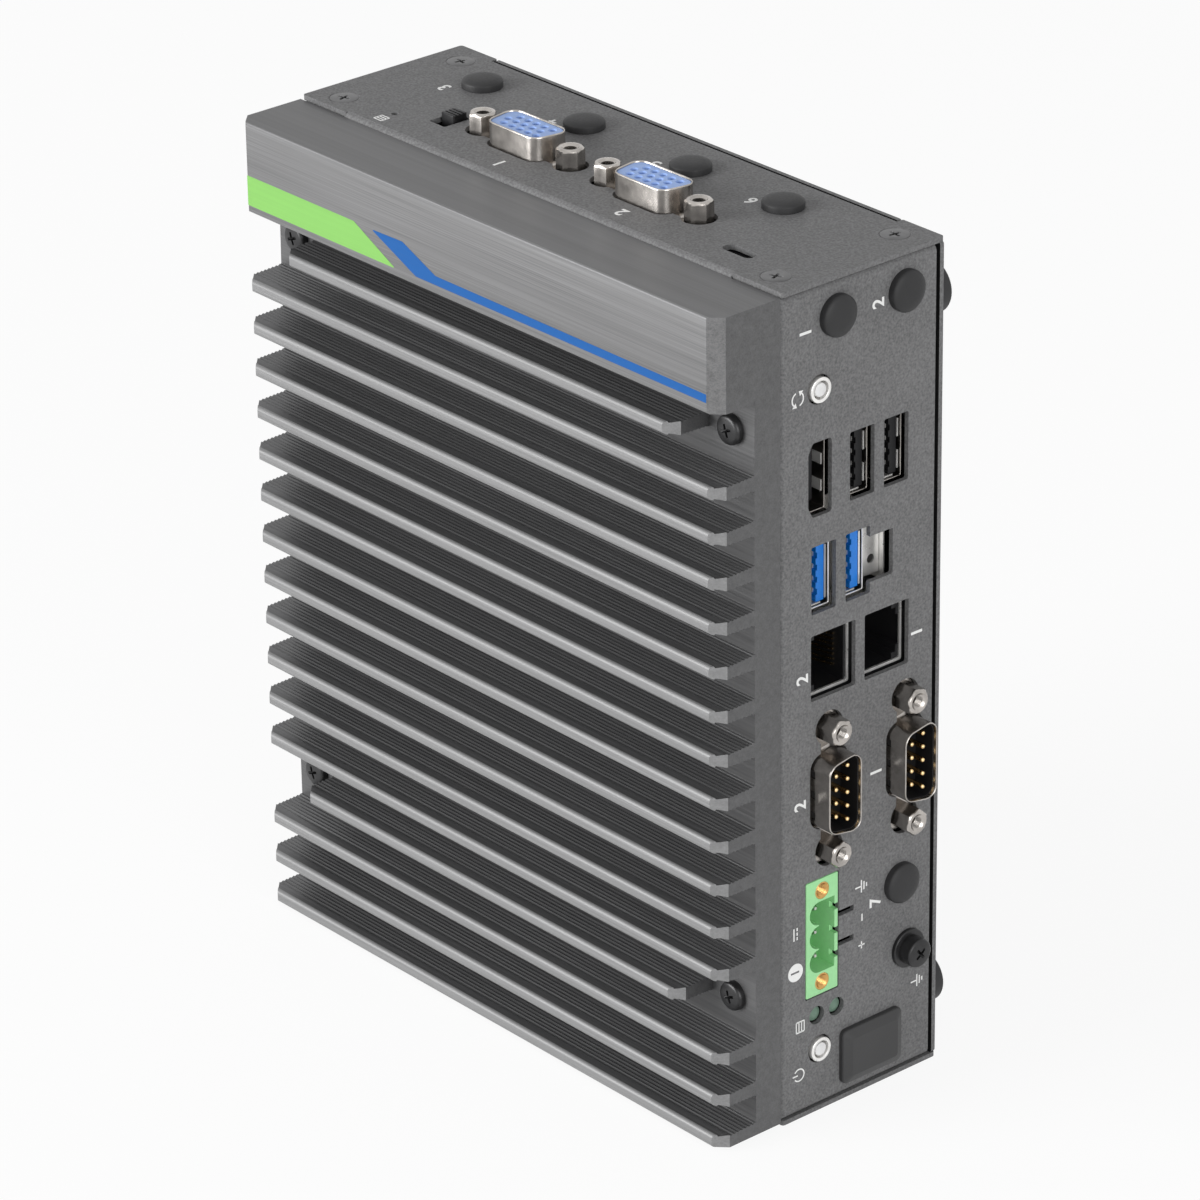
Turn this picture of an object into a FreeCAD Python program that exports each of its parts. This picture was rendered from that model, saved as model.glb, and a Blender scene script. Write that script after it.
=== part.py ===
"""Fanless industrial PC: a finned extrusion closes the front of a folded sheet-metal case.

Frame: +X is the connector side, -Y is the fin tips, +Y is the back cover with its feet, +Z is up.
The origin is the middle of the case's footprint, on the underside of the bottom panel.
"""
import FreeCAD, Part
import math
import os

Vector = FreeCAD.Vector

# Case
case_width = 134.4
case_height = 168.0
chassis_depth = 39.8
sheet = 1.0
bend_radius = 1.5
seam = 0.3

# Heatsink extrusion
heatsink_depth = 15.2
heatsink_base = 6.2
heatsink_inset = 0.8
cap_height = 18.3
cap_gap = 5.2
fin_count = 17
fin_root = 3.1
fin_tip = 2.5
fin_tip_edge = 0.4
fin_end_chamfer = 2.4
serration_count = 5
serration_depth = 0.28
serration_start = 0.5
tip_groove_width = 1.0
tip_bead = 1.1
short_fins = (0, 13)
pocket_length = 11.9

# Heatsink screws and the standoffs that they pull on
heatsink_screw_inset = 5.7
heatsink_screw_shank = 1.5
heatsink_screw_head = 2.9
heatsink_screw_head_height = 1.7
standoff_radius = 2.75
screw_clearance = 0.15
thread_clearance = 0.05

# Folded frame, end panels and back cover
flange_width = 10.0
flange_relief = 1.6
cover_tab_height = 14.0
cover_tab_width = 9.0
cover_tab_level = 32.0
lip_inset = 13.0
lip_height = 8.0
lip_gap = 0.5
tongue_inset = 11.2
tongue_gap = 0.5
panel_screw_inset = 6.7
panel_screw_front = 5.2
panel_screw_back = 34.0
flat_head_radius = 2.9
panel_screw_radius = 1.5
panel_screw_length = 5.0
mount_hole_pitch = 75.0
mount_hole_radius = 1.65
mount_collar_radius = 2.7
mount_collar_height = 2.2

# Small round pieces have this many flats: shanks and pins, flat heads, small rings, larger round pieces
shank_sides = 6
head_sides = 8
small_sides = 12
round_sides = 18
corner_steps = 2

# Cross recess of the pan-head screws
recess_arm = 1.5
recess_slot = 0.55
recess_depth = 0.9

# Rubber feet on the back cover
foot_radius = 5.2
foot_height = 5.0
foot_edge = 1.6
foot_inset = 7.7
foot_margin = 13.0

# Plugs in the antenna holes
plug_head_radius = 4.0
plug_head_height = 2.1
plug_stem_radius = 3.1
plug_hole_radius = 3.25
plug_stem_length = 2.7
top_plug_x = (-47.1, -17.5, 12.3, 37.4)
top_plug_depth = 28.2
top_plug_drop = 7.6
side_plug_depths = (13.4, 30.1)
low_plug = (30.1, 41.1)

# Mainboard, seen from the seat plane inwards
board_front = 4.7
board_thickness = 1.6
board_margin = 2.6
board_end_gap = 4.0
board_screw_inset = 9.7
board_screw_z = 14.0
chip_size = 38.0
chip_height = 1.6
pad_thickness = 0.4
window_margin = 4.0
chip_centre_z = 95.0

# Memory, drive and clock battery on the board
memory_inset = 23.2
memory_level = 22.0
memory_socket_size = (70.0, 5.2, 6.0)
memory_module_size = (67.6, 1.0, 29.8)
memory_chip = (12.0, 1.0, 12.0)
memory_chip_count = 4
drive_inset = 15.2
drive_level = 62.0
drive_socket_size = (22.0, 4.2, 6.0)
drive_module_size = (20.8, 0.8, 80.0)
drive_chip = (16.0, 1.2, 13.0)
drive_chip_count = 3
card_grip = 3.8
coin_cell_x = 28.0
coin_cell_drop = 32.0
coin_cell_radius = 10.0
coin_cell_height = 3.2
coin_cell_lift = 1.2
coin_holder_wall = 1.2

# Sockets behind the connector side: each centre is (depth behind the seat plane, height)
socket_recess = 0.6
socket_depth = 13.5
shell_box_margin = 1.0
shell_box_sink = 1.2
insert_clearance = 0.02
shell_wall = 0.3
cutout_margin = 0.2
data_mouth = (5.6, 13.0)
data_pitch = 8.4
black_pair = (19.95, 129.8)
blue_pair = (10.6, 110.0)
blue_window = (27.7, 105.4, 114.5)
tongue_thickness = 1.9
tongue_length = 11.2
tongue_root = 3.0
tongue_sink = 0.9
tongue_gap_front = 1.1
black_shell_reach = 32.6
blue_shell_reach = 28.4
video_socket = (9.65, 129.8)
video_mouth = (5.3, 14.1)
video_shoulder = 2.1
video_tongue = (1.2, 10.4)
jack_mouth = (10.6, 12.7)
jack_centres = ((13.0, 92.5), (26.3, 92.5))
jack_contact_count = 8
jack_contact_pitch = 1.02
latch_width = 6.2
latch_depth = 1.7
jack_lip = 0.45
jack_shift = 0.6
jack_opening = 12.0
jack_body_extra = 4.0
jack_body_wall = 1.5
jack_contact_width = 0.35
jack_contact_heel = (3.0, 0.15)
jack_contact_reach = 2.6

# Two-row and three-row ports: shells of one size, jackscrews a standard distance apart
port_long = 16.6
port_short = 8.2
port_slant = 10.0
port_corner = 2.4
port_stand = 4.6
port_flange = (30.6, 12.4, 0.8)
port_flange_gap = 0.3
port_cutout_margin = 0.6
jackscrew_spacing = 24.99
jackscrew_flats = 4.76
jackscrew_stand = 3.7
jackscrew_thread = 1.42
jackscrew_bore_depth = 4.4
jackscrew_hole = 3.4
serial_ports = ((12.05, 66.95), (31.1, 66.95))
top_ports = ((-17.0, 13.6), (18.4, 13.6))
insert_tail = 6.0
serial_floor = 0.6
top_insert_sink = 0.3
pin_radius = 0.5
pin_sink = 0.9
pin_pitch = 2.77
pin_row = 2.84
contact_pitch = 2.29
contact_row = 1.98
contact_hole = 0.6
contact_hole_depth = 2.5

# Direct-current header
header_centre = (10.4, 36.8)
header_size = (8.0, 24.2)
header_depth = 12.0
header_poles = 3
header_pitch = 5.0
header_insert_spacing = 19.1
header_insert_radius = 1.75
header_thread = 1.25
header_insert_length = 7.0
header_cavity_depth = 8.6
header_wall = 0.9
header_pin = 1.0
header_pin_sink = 1.8
header_rib = 0.2
header_notch = 1.2
key_slot = (4.0, 1.2)
key_slot_spacing = 6.2

# Buttons, lamps, switch, recessed socket, port cover, ground screw
power_button = (9.8, 13.15)
reset_button_depth = 9.4
reset_button_drop = 20.85
bushing_radius = 2.5
bushing_bore = 1.75
bushing_stand = 0.6
button_hole = 2.85
button_cap_radius = 1.35
button_cap_sink = 0.15
button_travel = 0.4
button_body = 7.0
button_body_gap = 1.2
lamp_points = ((9.1, 20.5), (14.1, 20.5))
lamp_radius = 1.45
lamp_length = 5.0
lamp_hole = 1.85
lamp_sink = 0.9
small_lamp = 1.6
pinhole = (-47.2, 6.75)
pinhole_radius = 0.7
switch_slot = (-37.65, 12.25, 4.5, 6.3)
switch_knob = (3.6, 3.4, 1.3)
switch_clearance = 0.35
switch_body_height = 5.0
switch_wall = 1.5
switch_channel = 2.4
flash_socket_inset = 19.5
flash_socket_depth = 8.2
flash_socket_size = (7.6, 2.8)
flash_body_height = 6.0
flash_floor = 1.5
flash_tongue = (5.2, 0.6)
flash_tongue_sink = 0.8
cover_plug = (22.4, 9.3, 15.1, 11.4)
cover_plug_height = 1.3
cover_plug_bevel = 1.6
cover_plug_rim = 0.4
cover_plug_corner = 1.2
ground_screw = (32.1, 26.4)
ground_head_radius = 2.9
ground_head_height = 3.0
ground_washer_radius = 3.9
ground_washer_height = 0.9

# Places that follow from the sizes above
half_width = case_width / 2
tip_y = -(heatsink_depth + chassis_depth) / 2
seat_y = tip_y + heatsink_depth
back_y = seat_y + chassis_depth
cover_y = back_y - sheet
wall_back_y = cover_y - seam
floor_z = sheet
ceiling_z = case_height - sheet
base_y = seat_y - heatsink_base
heatsink_bottom = heatsink_inset
heatsink_top = case_height - heatsink_inset
cap_bottom = heatsink_top - cap_height
fin_length = heatsink_depth - heatsink_base
first_fin_z = cap_bottom - cap_gap - fin_tip / 2
last_fin_z = heatsink_bottom + fin_tip / 2
fin_pitch = (first_fin_z - last_fin_z) / (fin_count - 1)
board_y = seat_y + board_front + board_thickness
inner_x = half_width - sheet
flange_x = inner_x - port_flange_gap
flat_head_height = sheet
lip_width = case_width - 2 * lip_inset
tongue_width = case_width - 2 * tongue_inset
panel_screw_x = half_width - panel_screw_inset
foot_x = half_width - foot_inset
board_screw_x = half_width - board_screw_inset
side_plugs = [(depth, case_height - top_plug_drop) for depth in side_plug_depths] + [low_plug]
coin_cell_centre = (coin_cell_x, case_height - coin_cell_drop)
memory_corner = (memory_inset - half_width, memory_level)
drive_corner = (drive_inset - half_width, drive_level)
flash_socket = (half_width - flash_socket_inset, flash_socket_depth) + flash_socket_size
reset_button = (reset_button_depth, case_height - reset_button_drop)
top_flange_z = ceiling_z - port_flange_gap


def rounded_wire(points, radius):
    """Closed wire through the points with each corner rounded; radius is one number or one per corner."""
    radii = radius if isinstance(radius, (list, tuple)) else [radius] * len(points)
    edges = []
    first = previous = None
    for index, here in enumerate(points):
        before = (points[index - 1] - here).normalize()
        after = (points[(index + 1) % len(points)] - here).normalize()
        if radii[index] > 0:
            half_angle = before.getAngle(after) / 2
            reach = radii[index] / math.tan(half_angle)
            start = here + before * reach
            end = here + after * reach
            inward = (before + after).normalize()
            centre = here + inward * (radii[index] / math.sin(half_angle))
            corner = Part.Arc(start, centre - inward * radii[index], end).toShape()
        else:
            start = end = here
            corner = None
        if previous is not None:
            edges.append(Part.LineSegment(previous, start).toShape())
        else:
            first = start
        if corner is not None:
            edges.append(corner)
        previous = end
    edges.append(Part.LineSegment(previous, first).toShape())
    return Part.Wire(edges)


def prism(plane, outline, start, depth, radius=0.0):
    """Solid with a flat outline in plane 'xy', 'xz' or 'yz', from start to start + depth along its normal."""
    place = {
        "xy": lambda a, b: Vector(a, b, start),
        "xz": lambda a, b: Vector(a, start, b),
        "yz": lambda a, b: Vector(start, a, b),
    }[plane]
    normal = {"xy": Vector(0, 0, 1), "xz": Vector(0, 1, 0), "yz": Vector(1, 0, 0)}[plane]
    wire = rounded_wire([place(a, b) for a, b in outline], radius)
    return Part.Face(wire).extrude(normal * depth)


def rectangle(centre, size):
    """Corners of a rectangle given by its centre and its full width and height."""
    (a, b), (width, height) = centre, size
    return [
        (a - width / 2, b - height / 2),
        (a + width / 2, b - height / 2),
        (a + width / 2, b + height / 2),
        (a - width / 2, b + height / 2),
    ]


def block(x0, x1, y0, y1, z0, z1):
    """Box between two corners."""
    return Part.makeBox(x1 - x0, y1 - y0, z1 - z0, Vector(x0, y0, z0))


def rod(radius, start, axis, length):
    """Cylinder from start along axis."""
    return Part.makeCylinder(radius, length, start, axis)


def fused(shapes):
    """One solid out of several that touch or overlap, without the seams between them."""
    return shapes[0].fuse(shapes[1:]).removeSplitter()


def side_point(place, out=0.0):
    """Point on the connector side, out millimetres proud; place is (depth behind the seat plane, height)."""
    return Vector(half_width + out, seat_y + place[0], place[1])


def top_point(place, out=0.0):
    """Point on the top panel: place is (x, depth behind the seat plane)."""
    return Vector(place[0], seat_y + place[1], case_height + out)


def eased(points, radius):
    """Outline in (a, b) with each corner of the polygon rounded by a few short flats."""
    outline = []
    for index, (a, b) in enumerate(points):
        here = Vector(a, b, 0)
        before = (Vector(*points[index - 1], 0) - here).normalize()
        after = (Vector(*points[(index + 1) % len(points)], 0) - here).normalize()
        half_angle = before.getAngle(after) / 2
        centre = here + (before + after).normalize() * (radius / math.sin(half_angle))
        start = here + before * (radius / math.tan(half_angle)) - centre
        sweep = math.pi - 2 * half_angle
        turn = 1 if before.cross(after).z < 0 else -1
        for step in range(corner_steps + 1):
            angle = turn * sweep * step / corner_steps
            outline.append((centre.x + start.x * math.cos(angle) - start.y * math.sin(angle),
                            centre.y + start.x * math.sin(angle) + start.y * math.cos(angle)))
    return outline


def ring(radius, height, sides):
    """Corners of a regular polygon round the Z axis."""
    step = 2 * math.pi / sides
    return [Vector(radius * math.cos(index * step), radius * math.sin(index * step), height)
            for index in range(sides)]


def stacked(rings):
    """Flat-sided solid through rings of as many corners each, closed at the first and the last."""
    faces = [Part.Face(Part.makePolygon(end + [end[0]])) for end in (rings[0], rings[-1])]
    for low, high in zip(rings, rings[1:]):
        for index, corner in enumerate(low):
            following = (index + 1) % len(low)
            side = [corner, low[following], high[following], high[index], corner]
            faces.append(Part.Face(Part.makePolygon(side)))
    solid = Part.makeSolid(Part.makeShell(faces)).removeSplitter()
    if solid.Volume < 0:
        solid.reverse()
    return solid


def turned(profile, place, axis, sides):
    """Many-sided solid round an axis; the profile lists (radius, height) from its start to its end."""
    solid = stacked([ring(radius, height, sides) for radius, height in profile])
    solid.Placement = FreeCAD.Placement(place, FreeCAD.Rotation(Vector(0, 0, 1), axis))
    return solid


def post(radius, start, axis, length, sides=shank_sides):
    """Many-sided rod from start along axis, for small round pieces and their holes."""
    return turned([(radius, 0), (radius, length)], start, axis, sides)


def cross_recess(place, axis, depth=recess_depth, arm=recess_arm):
    """Cross-shaped driver recess sunk from place against the axis."""
    bars = fused([
        block(-arm, arm, -recess_slot / 2, recess_slot / 2, -depth, 0),
        block(-recess_slot / 2, recess_slot / 2, -arm, arm, -depth, 0),
    ])
    bars.Placement = FreeCAD.Placement(place, FreeCAD.Rotation(Vector(0, 0, 1), axis))
    return bars


def pan_screw(place, axis, head_radius, head_height, shank_radius, shank_length):
    """Screw whose head's underside is at place and whose head stands along the axis."""
    edge = head_height / 3
    head = turned([(head_radius, 0), (head_radius, head_height - edge), (head_radius - edge, head_height)],
                  place, axis, head_sides)
    return fused([head, post(shank_radius, place, -1 * axis, shank_length)])


def flat_screw(place, axis):
    """Countersunk screw whose head is flush at place."""
    profile = [(panel_screw_radius, -panel_screw_length), (panel_screw_radius, -flat_head_height),
               (flat_head_radius, 0)]
    return turned(profile, place, axis, head_sides)


def countersink(place, axis):
    """Seat for a flat screw: the cone of its head and a hole for its shank, each a little larger."""
    low, high = panel_screw_radius + thread_clearance, flat_head_radius + thread_clearance
    profile = [(low, -panel_screw_length), (low, -flat_head_height), (high, 0), (high, seam)]
    return turned(profile, place, axis, head_sides)


def fin_flank(centre, side):
    """Outline of one side of a fin, from the base to the tip: serrations, a groove, then the rounded bead."""
    def surface(reach, sink=0.0):
        thickness = fin_root + (fin_tip - fin_root) * reach / fin_length
        return (base_y - reach, centre + side * (thickness / 2 - sink))

    groove_start = fin_length - tip_bead - tip_groove_width
    tooth = (groove_start - serration_start) / serration_count
    points = [surface(0)]
    for index in range(serration_count):
        points.append(surface(serration_start + index * tooth))
        points.append(surface(serration_start + (index + 0.5) * tooth, serration_depth))
    points.append(surface(groove_start))
    points.append(surface(groove_start + tip_groove_width / 2, serration_depth))
    points.append(surface(fin_length - tip_bead))
    points.append(surface(fin_length - fin_tip_edge))
    points.append(surface(fin_length, fin_tip_edge))
    return points


def fin_level(index):
    """Height of a fin's middle plane, counted from the top."""
    return first_fin_z - index * fin_pitch


def heatsink_outline():
    """Section of the extrusion: base, solid cap and the row of serrated fins."""
    outline = [(seat_y, heatsink_bottom), (seat_y, heatsink_top), (tip_y, heatsink_top),
               (tip_y, cap_bottom), (base_y, cap_bottom)]
    for index in range(fin_count - 1):
        outline += fin_flank(fin_level(index), 1)
        outline += reversed(fin_flank(fin_level(index), -1))
    outline += fin_flank(last_fin_z, 1)
    outline += [(tip_y, heatsink_bottom + fin_tip_edge), (tip_y + fin_tip_edge, heatsink_bottom)]
    return outline


def end_chamfer(edge_x, side, z0, z1):
    """Wedge that takes the corner off the fins' ends at edge_x."""
    corner = [(edge_x, tip_y - 1), (edge_x, tip_y + fin_end_chamfer),
              (edge_x - side * (fin_end_chamfer + 1), tip_y - 1)]
    return prism("xy", corner, z0, z1 - z0)


def heatsink_screw_points():
    """Seats of the four heatsink screws on the base, in the pockets at the ends of the short fins."""
    for index in short_fins:
        for side in (-1, 1):
            yield Vector(side * (half_width - heatsink_screw_inset), base_y, fin_level(index))


def heatsink():
    """One extrusion: fins cut back for the screw pockets, chamfered ends and four screw holes."""
    width = 2 * half_width
    body = prism("yz", heatsink_outline(), -half_width, width)
    cuts = []
    for side in (-1, 1):
        outer = side * (half_width + 1)
        inner = side * (half_width - pocket_length)
        cuts.append(end_chamfer(side * half_width, side, heatsink_bottom - 1, heatsink_top + 1))
        for index in short_fins:
            level = fin_level(index)
            reach = fin_pitch / 2 - fin_tip / 2
            low, high = level - fin_root / 2 - reach / 2, level + fin_root / 2 + reach / 2
            cuts.append(block(min(inner, outer), max(inner, outer), tip_y - 1, base_y, low, high))
            cuts.append(end_chamfer(inner, side, low, high))
    for point in heatsink_screw_points():
        cuts.append(post(heatsink_screw_shank + screw_clearance, point, Vector(0, 1, 0), heatsink_base))
    return body.cut(cuts)


def heatsink_screws():
    """Four black pan-head screws that pull the heatsink on to the standoffs."""
    reach = heatsink_base + sheet + board_front / 2
    axis = Vector(0, -1, 0)
    height = heatsink_screw_head_height
    solids = []
    for point in heatsink_screw_points():
        screw = pan_screw(point, axis, heatsink_screw_head, height, heatsink_screw_shank, reach)
        solids.append(screw.cut(cross_recess(point + axis * height, axis)))
    return solids


def board_screw_points():
    """Axis points of the four board screws on the board's face, near its corners."""
    for side in (-1, 1):
        for level in (board_screw_z, case_height - board_screw_z):
            yield Vector(side * board_screw_x, board_y, level)


def board_standoffs():
    """Hexagonal standoffs on the web, tapped through: four for the heatsink screws, four for the board's."""
    solids = []
    for point in list(heatsink_screw_points()) + list(board_screw_points()):
        start = Vector(point.x, seat_y + sheet, point.z)
        length = board_front - sheet
        tube = post(standoff_radius, start, Vector(0, 1, 0), length)
        solids.append(tube.cut(post(heatsink_screw_shank + thread_clearance, start, Vector(0, 1, 0), length)))
    return solids


def board_screws():
    """Four short screws that hold the board on the standoffs."""
    length = board_thickness + board_front / 2 - sheet - screw_clearance
    return [
        pan_screw(point, Vector(0, 1, 0), heatsink_screw_head, heatsink_screw_head_height,
                  heatsink_screw_shank, length)
        for point in board_screw_points()
    ]


def folded_block():
    """Block with the corners that the folds give: upright ones at the front, level ones at the sides."""
    depth = wall_back_y - seat_y
    height = ceiling_z - floor_z
    plan = rectangle((0, seat_y + depth / 2), (case_width, depth))
    across = rectangle((0, floor_z + height / 2), (case_width, height))
    upright = prism("xy", plan, floor_z, height, [bend_radius, bend_radius, 0, 0])
    return upright.common(prism("xz", across, seat_y, depth, bend_radius))


def port_outline(centre, upright, grow=0.0):
    """Slant-sided port outline, longer towards the back cover; upright turns it along Z instead of X."""
    long_half = port_long / 2 + grow
    short_half = port_short / 2 + grow
    narrow_half = long_half - 2 * short_half * math.tan(math.radians(port_slant))
    outline = [(-narrow_half, -short_half), (narrow_half, -short_half), (long_half, short_half),
               (-long_half, short_half)]
    outline = eased(outline, port_corner + grow)
    if upright:
        return [(centre[0] + b, centre[1] + a) for a, b in outline]
    return [(centre[0] + a, centre[1] + b) for a, b in outline]


def video_outline(centre, grow=0.0):
    """Video socket outline: a rectangle with the two corners next to the board cut off."""
    half_a = video_mouth[0] / 2 + grow
    half_b = video_mouth[1] / 2 + grow
    a, b = centre
    return [(a - half_a, b - half_b + video_shoulder), (a - half_a + video_shoulder / 2, b - half_b),
            (a + half_a, b - half_b), (a + half_a, b + half_b),
            (a - half_a + video_shoulder / 2, b + half_b), (a - half_a, b + half_b - video_shoulder)]


def local(place):
    """Place on the connector side in (y, z)."""
    return (seat_y + place[0], place[1])


def grown(size, amount):
    """Width and height, each larger by the amount on both sides."""
    return tuple(value + 2 * amount for value in size)


def data_centres(pair):
    """Centres of the two sockets of a stacked pair, in (y, z)."""
    return [local(pair), local((pair[0] + data_pitch, pair[1]))]


def port_cutouts(centre, upright, cut):
    """Panel opening of a port: the shell's outline joined to a round hole for each jackscrew."""
    outline = port_outline(centre, upright, port_cutout_margin)
    plane = "yz" if upright else "xy"
    start = (half_width if upright else case_height) - cut
    axis = Vector(1, 0, 0) if upright else Vector(0, 0, 1)
    shapes = [prism(plane, outline, start, 2 * cut)]
    for point in jackscrew_points(centre, upright, start):
        shapes.append(post(jackscrew_hole, point, axis, 2 * cut, small_sides))
    bridge = rectangle(centre, (port_short / 2, jackscrew_spacing) if upright else
                       (jackscrew_spacing, port_short / 2))
    shapes.append(prism(plane, bridge, start, 2 * cut))
    return shapes


def jackscrew_points(centre, upright, level):
    """Axis points of a port's two jackscrews at a level of its outward axis."""
    for side in (-1, 1):
        shift = side * jackscrew_spacing / 2
        if upright:
            yield Vector(level, centre[0], centre[1] + shift)
        else:
            yield Vector(centre[0] + shift, centre[1], level)


def side_cutouts():
    """Every opening of the connector side, as solids that pass through its wall."""
    cut = 2 * sheet
    start = half_width - cut
    through = 2 * cut
    shapes = [prism("yz", video_outline(local(video_socket), cutout_margin), start, through)]
    for pair in (black_pair, blue_pair):
        for centre in data_centres(pair):
            shapes.append(prism("yz", rectangle(centre, grown(data_mouth, cutout_margin)), start, through))
    reach, low, high = blue_window
    left = seat_y + blue_pair[0] + data_pitch
    shapes.append(block(start, start + through, left, seat_y + reach, low, high))
    for centre in jack_centres:
        mouth = rectangle(local(centre), grown(jack_mouth, cutout_margin))
        shapes.append(prism("yz", mouth, start, through))
    for centre in serial_ports:
        shapes += port_cutouts(local(centre), True, cut)
    header_mouth = rectangle(local(header_centre), grown(header_size, cutout_margin))
    shapes.append(prism("yz", header_mouth, start, through))
    for side in (-1, 1):
        slot_y = seat_y + header_centre[0] + header_size[0] / 2 + key_slot[0] / 2
        slot = rectangle((slot_y, header_centre[1] + side * key_slot_spacing / 2), key_slot)
        shapes.append(prism("yz", slot, start, through))
    holes = [(place, plug_hole_radius, shank_sides) for place in side_plugs]
    holes += [(place, button_hole, round_sides) for place in (power_button, reset_button)]
    holes += [(place, lamp_hole, small_sides) for place in lamp_points]
    holes += [(ground_screw, panel_screw_radius + thread_clearance, shank_sides)]
    for place, radius, sides in holes:
        shapes.append(post(radius, side_point(place, -cut), Vector(1, 0, 0), through, sides))
    centre, size = local(cover_plug[:2]), grown(cover_plug[2:], -cover_plug_bevel / 2)
    shapes.append(prism("yz", rectangle(centre, size), start, through))
    return shapes


def panel_screw_points():
    """Screw seats of the top and bottom panels, with their outward axes."""
    for side in (-1, 1):
        for depth in (panel_screw_front, panel_screw_back):
            yield top_point((side * panel_screw_x, depth)), Vector(0, 0, 1)
            yield Vector(side * panel_screw_x, seat_y + depth, 0), Vector(0, 0, -1)


def cover_screw_points():
    """Screw seats of the back cover, with their outward axis."""
    for side in (-1, 1):
        for level in (cover_tab_level, case_height - cover_tab_level):
            yield Vector(side * panel_screw_x, back_y, level), Vector(0, 1, 0)


def chassis_frame():
    """One folded sheet: web behind the heatsink, side walls, end flanges and four tabs for the cover."""
    hollow = block(-inner_x, inner_x, seat_y + sheet, wall_back_y + 1, floor_z + sheet, ceiling_z - sheet)
    frame = folded_block().cut(hollow)
    window = inner_x - flange_width
    cuts = []
    for low, high in ((floor_z - 1, floor_z + bend_radius), (ceiling_z - bend_radius, ceiling_z + 1)):
        cuts.append(block(-window, window, seat_y + sheet, wall_back_y + 1, low, high))
        cuts.append(block(-inner_x + bend_radius, inner_x - bend_radius, seat_y + sheet,
                          seat_y + sheet + flange_relief, low, high))
    lip_half = lip_width / 2 + lip_gap
    lip_low = lip_height + lip_gap
    for low, high in ((0, lip_low), (case_height - lip_low, case_height)):
        cuts.append(block(-lip_half, lip_half, seat_y - 1, seat_y + 2 * sheet, low, high))
    chip_half = chip_size / 2 + window_margin
    cuts.append(block(-chip_half, chip_half, seat_y - 1, seat_y + 2 * sheet,
                      chip_centre_z - chip_half, chip_centre_z + chip_half))
    for point in heatsink_screw_points():
        start = Vector(point.x, seat_y, point.z)
        cuts.append(post(heatsink_screw_shank + screw_clearance, start, Vector(0, 1, 0), sheet))
    tabs = []
    for seat, axis in cover_screw_points():
        side = 1 if seat.x > 0 else -1
        edge, tip = side * (inner_x + sheet / 2), side * (inner_x - cover_tab_width)
        tabs.append(block(min(edge, tip), max(edge, tip), wall_back_y - sheet, wall_back_y,
                          seat.z - cover_tab_height / 2, seat.z + cover_tab_height / 2))
    radius = panel_screw_radius + thread_clearance
    holes = [turned([(radius, -panel_screw_length), (radius, 0)], seat, axis, head_sides)
             for seat, axis in list(panel_screw_points()) + list(cover_screw_points())]
    return fused([frame.cut(cuts)] + tabs).cut(holes + side_cutouts())


def end_panel():
    """Plain top panel: a sheet with a lip folded down behind the heatsink and a notch for the tongue."""
    plate = block(-half_width, half_width, seat_y + lip_gap, back_y, ceiling_z, case_height)
    notch = tongue_width / 2 + tongue_gap
    plate = plate.cut(block(-notch, notch, cover_y - tongue_gap, back_y + 1, ceiling_z - 1, case_height + 1))
    section = [(seat_y, case_height - lip_height), (seat_y + sheet, case_height - lip_height),
               (seat_y + sheet, ceiling_z), (seat_y + 3 * sheet, ceiling_z),
               (seat_y + 3 * sheet, case_height), (seat_y, case_height)]
    lip = prism("yz", section, -lip_width / 2, lip_width, [0, 0, 0, 0, 0, bend_radius])
    return fused([plate, lip])


def top_panel():
    """Top panel with its port openings, plug holes, switch slot, socket slot and pinhole."""
    cut = 2 * sheet
    start = case_height - cut
    through = 2 * cut
    shapes = []
    for place in top_ports:
        shapes += port_cutouts((place[0], seat_y + place[1]), False, cut)
    for x in top_plug_x:
        shapes.append(post(plug_hole_radius, top_point((x, top_plug_depth), -cut), Vector(0, 0, 1), through))
    for x, depth, width, height in (switch_slot, flash_socket):
        outline = rectangle((x, seat_y + depth), (width, height))
        shapes.append(prism("xy", outline, start, through))
    shapes.append(post(pinhole_radius, top_point(pinhole, -cut), Vector(0, 0, 1), through, small_sides))
    seats = [countersink(seat, axis) for seat, axis in panel_screw_points() if axis.z > 0]
    return end_panel().cut(shapes + seats)


def bottom_panel():
    """Bottom panel: the plain end panel turned over."""
    plain = end_panel().mirror(Vector(0, 0, case_height / 2), Vector(0, 0, 1))
    return plain.cut([countersink(seat, axis) for seat, axis in panel_screw_points() if axis.z < 0])


def back_cover():
    """Flat back cover: a tongue into each end panel and four tapped collars for a mounting bracket."""
    plate = block(-half_width, half_width, cover_y, back_y, floor_z, ceiling_z)
    tongue = block(-tongue_width / 2, tongue_width / 2, cover_y, back_y, 0, case_height)
    collars, holes = [], []
    for x in (-mount_hole_pitch / 2, mount_hole_pitch / 2):
        for shift in (-mount_hole_pitch / 2, mount_hole_pitch / 2):
            start = Vector(x, back_y, case_height / 2 + shift)
            length = sheet + mount_collar_height
            collars.append(post(mount_collar_radius, start, Vector(0, -1, 0), length))
            holes.append(rod(mount_hole_radius, start, Vector(0, -1, 0), length))
    seats = [countersink(seat, axis) for seat, axis in cover_screw_points()]
    return fused([plate, tongue] + collars).cut(holes + seats)


def panel_screws():
    """All the flat-head screws of the two end panels and the back cover."""
    return [flat_screw(seat, axis) for seat, axis in list(panel_screw_points()) + list(cover_screw_points())]


def rubber_feet():
    """Four domed feet on the back cover."""
    shoulder = foot_height - foot_edge
    profile = [(foot_radius, 0), (foot_radius, shoulder), (foot_radius - foot_edge, foot_height)]
    return [
        turned(profile, Vector(side * foot_x, back_y, level), Vector(0, 1, 0), small_sides)
        for side in (-1, 1)
        for level in (foot_margin, case_height - foot_margin)
    ]


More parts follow.
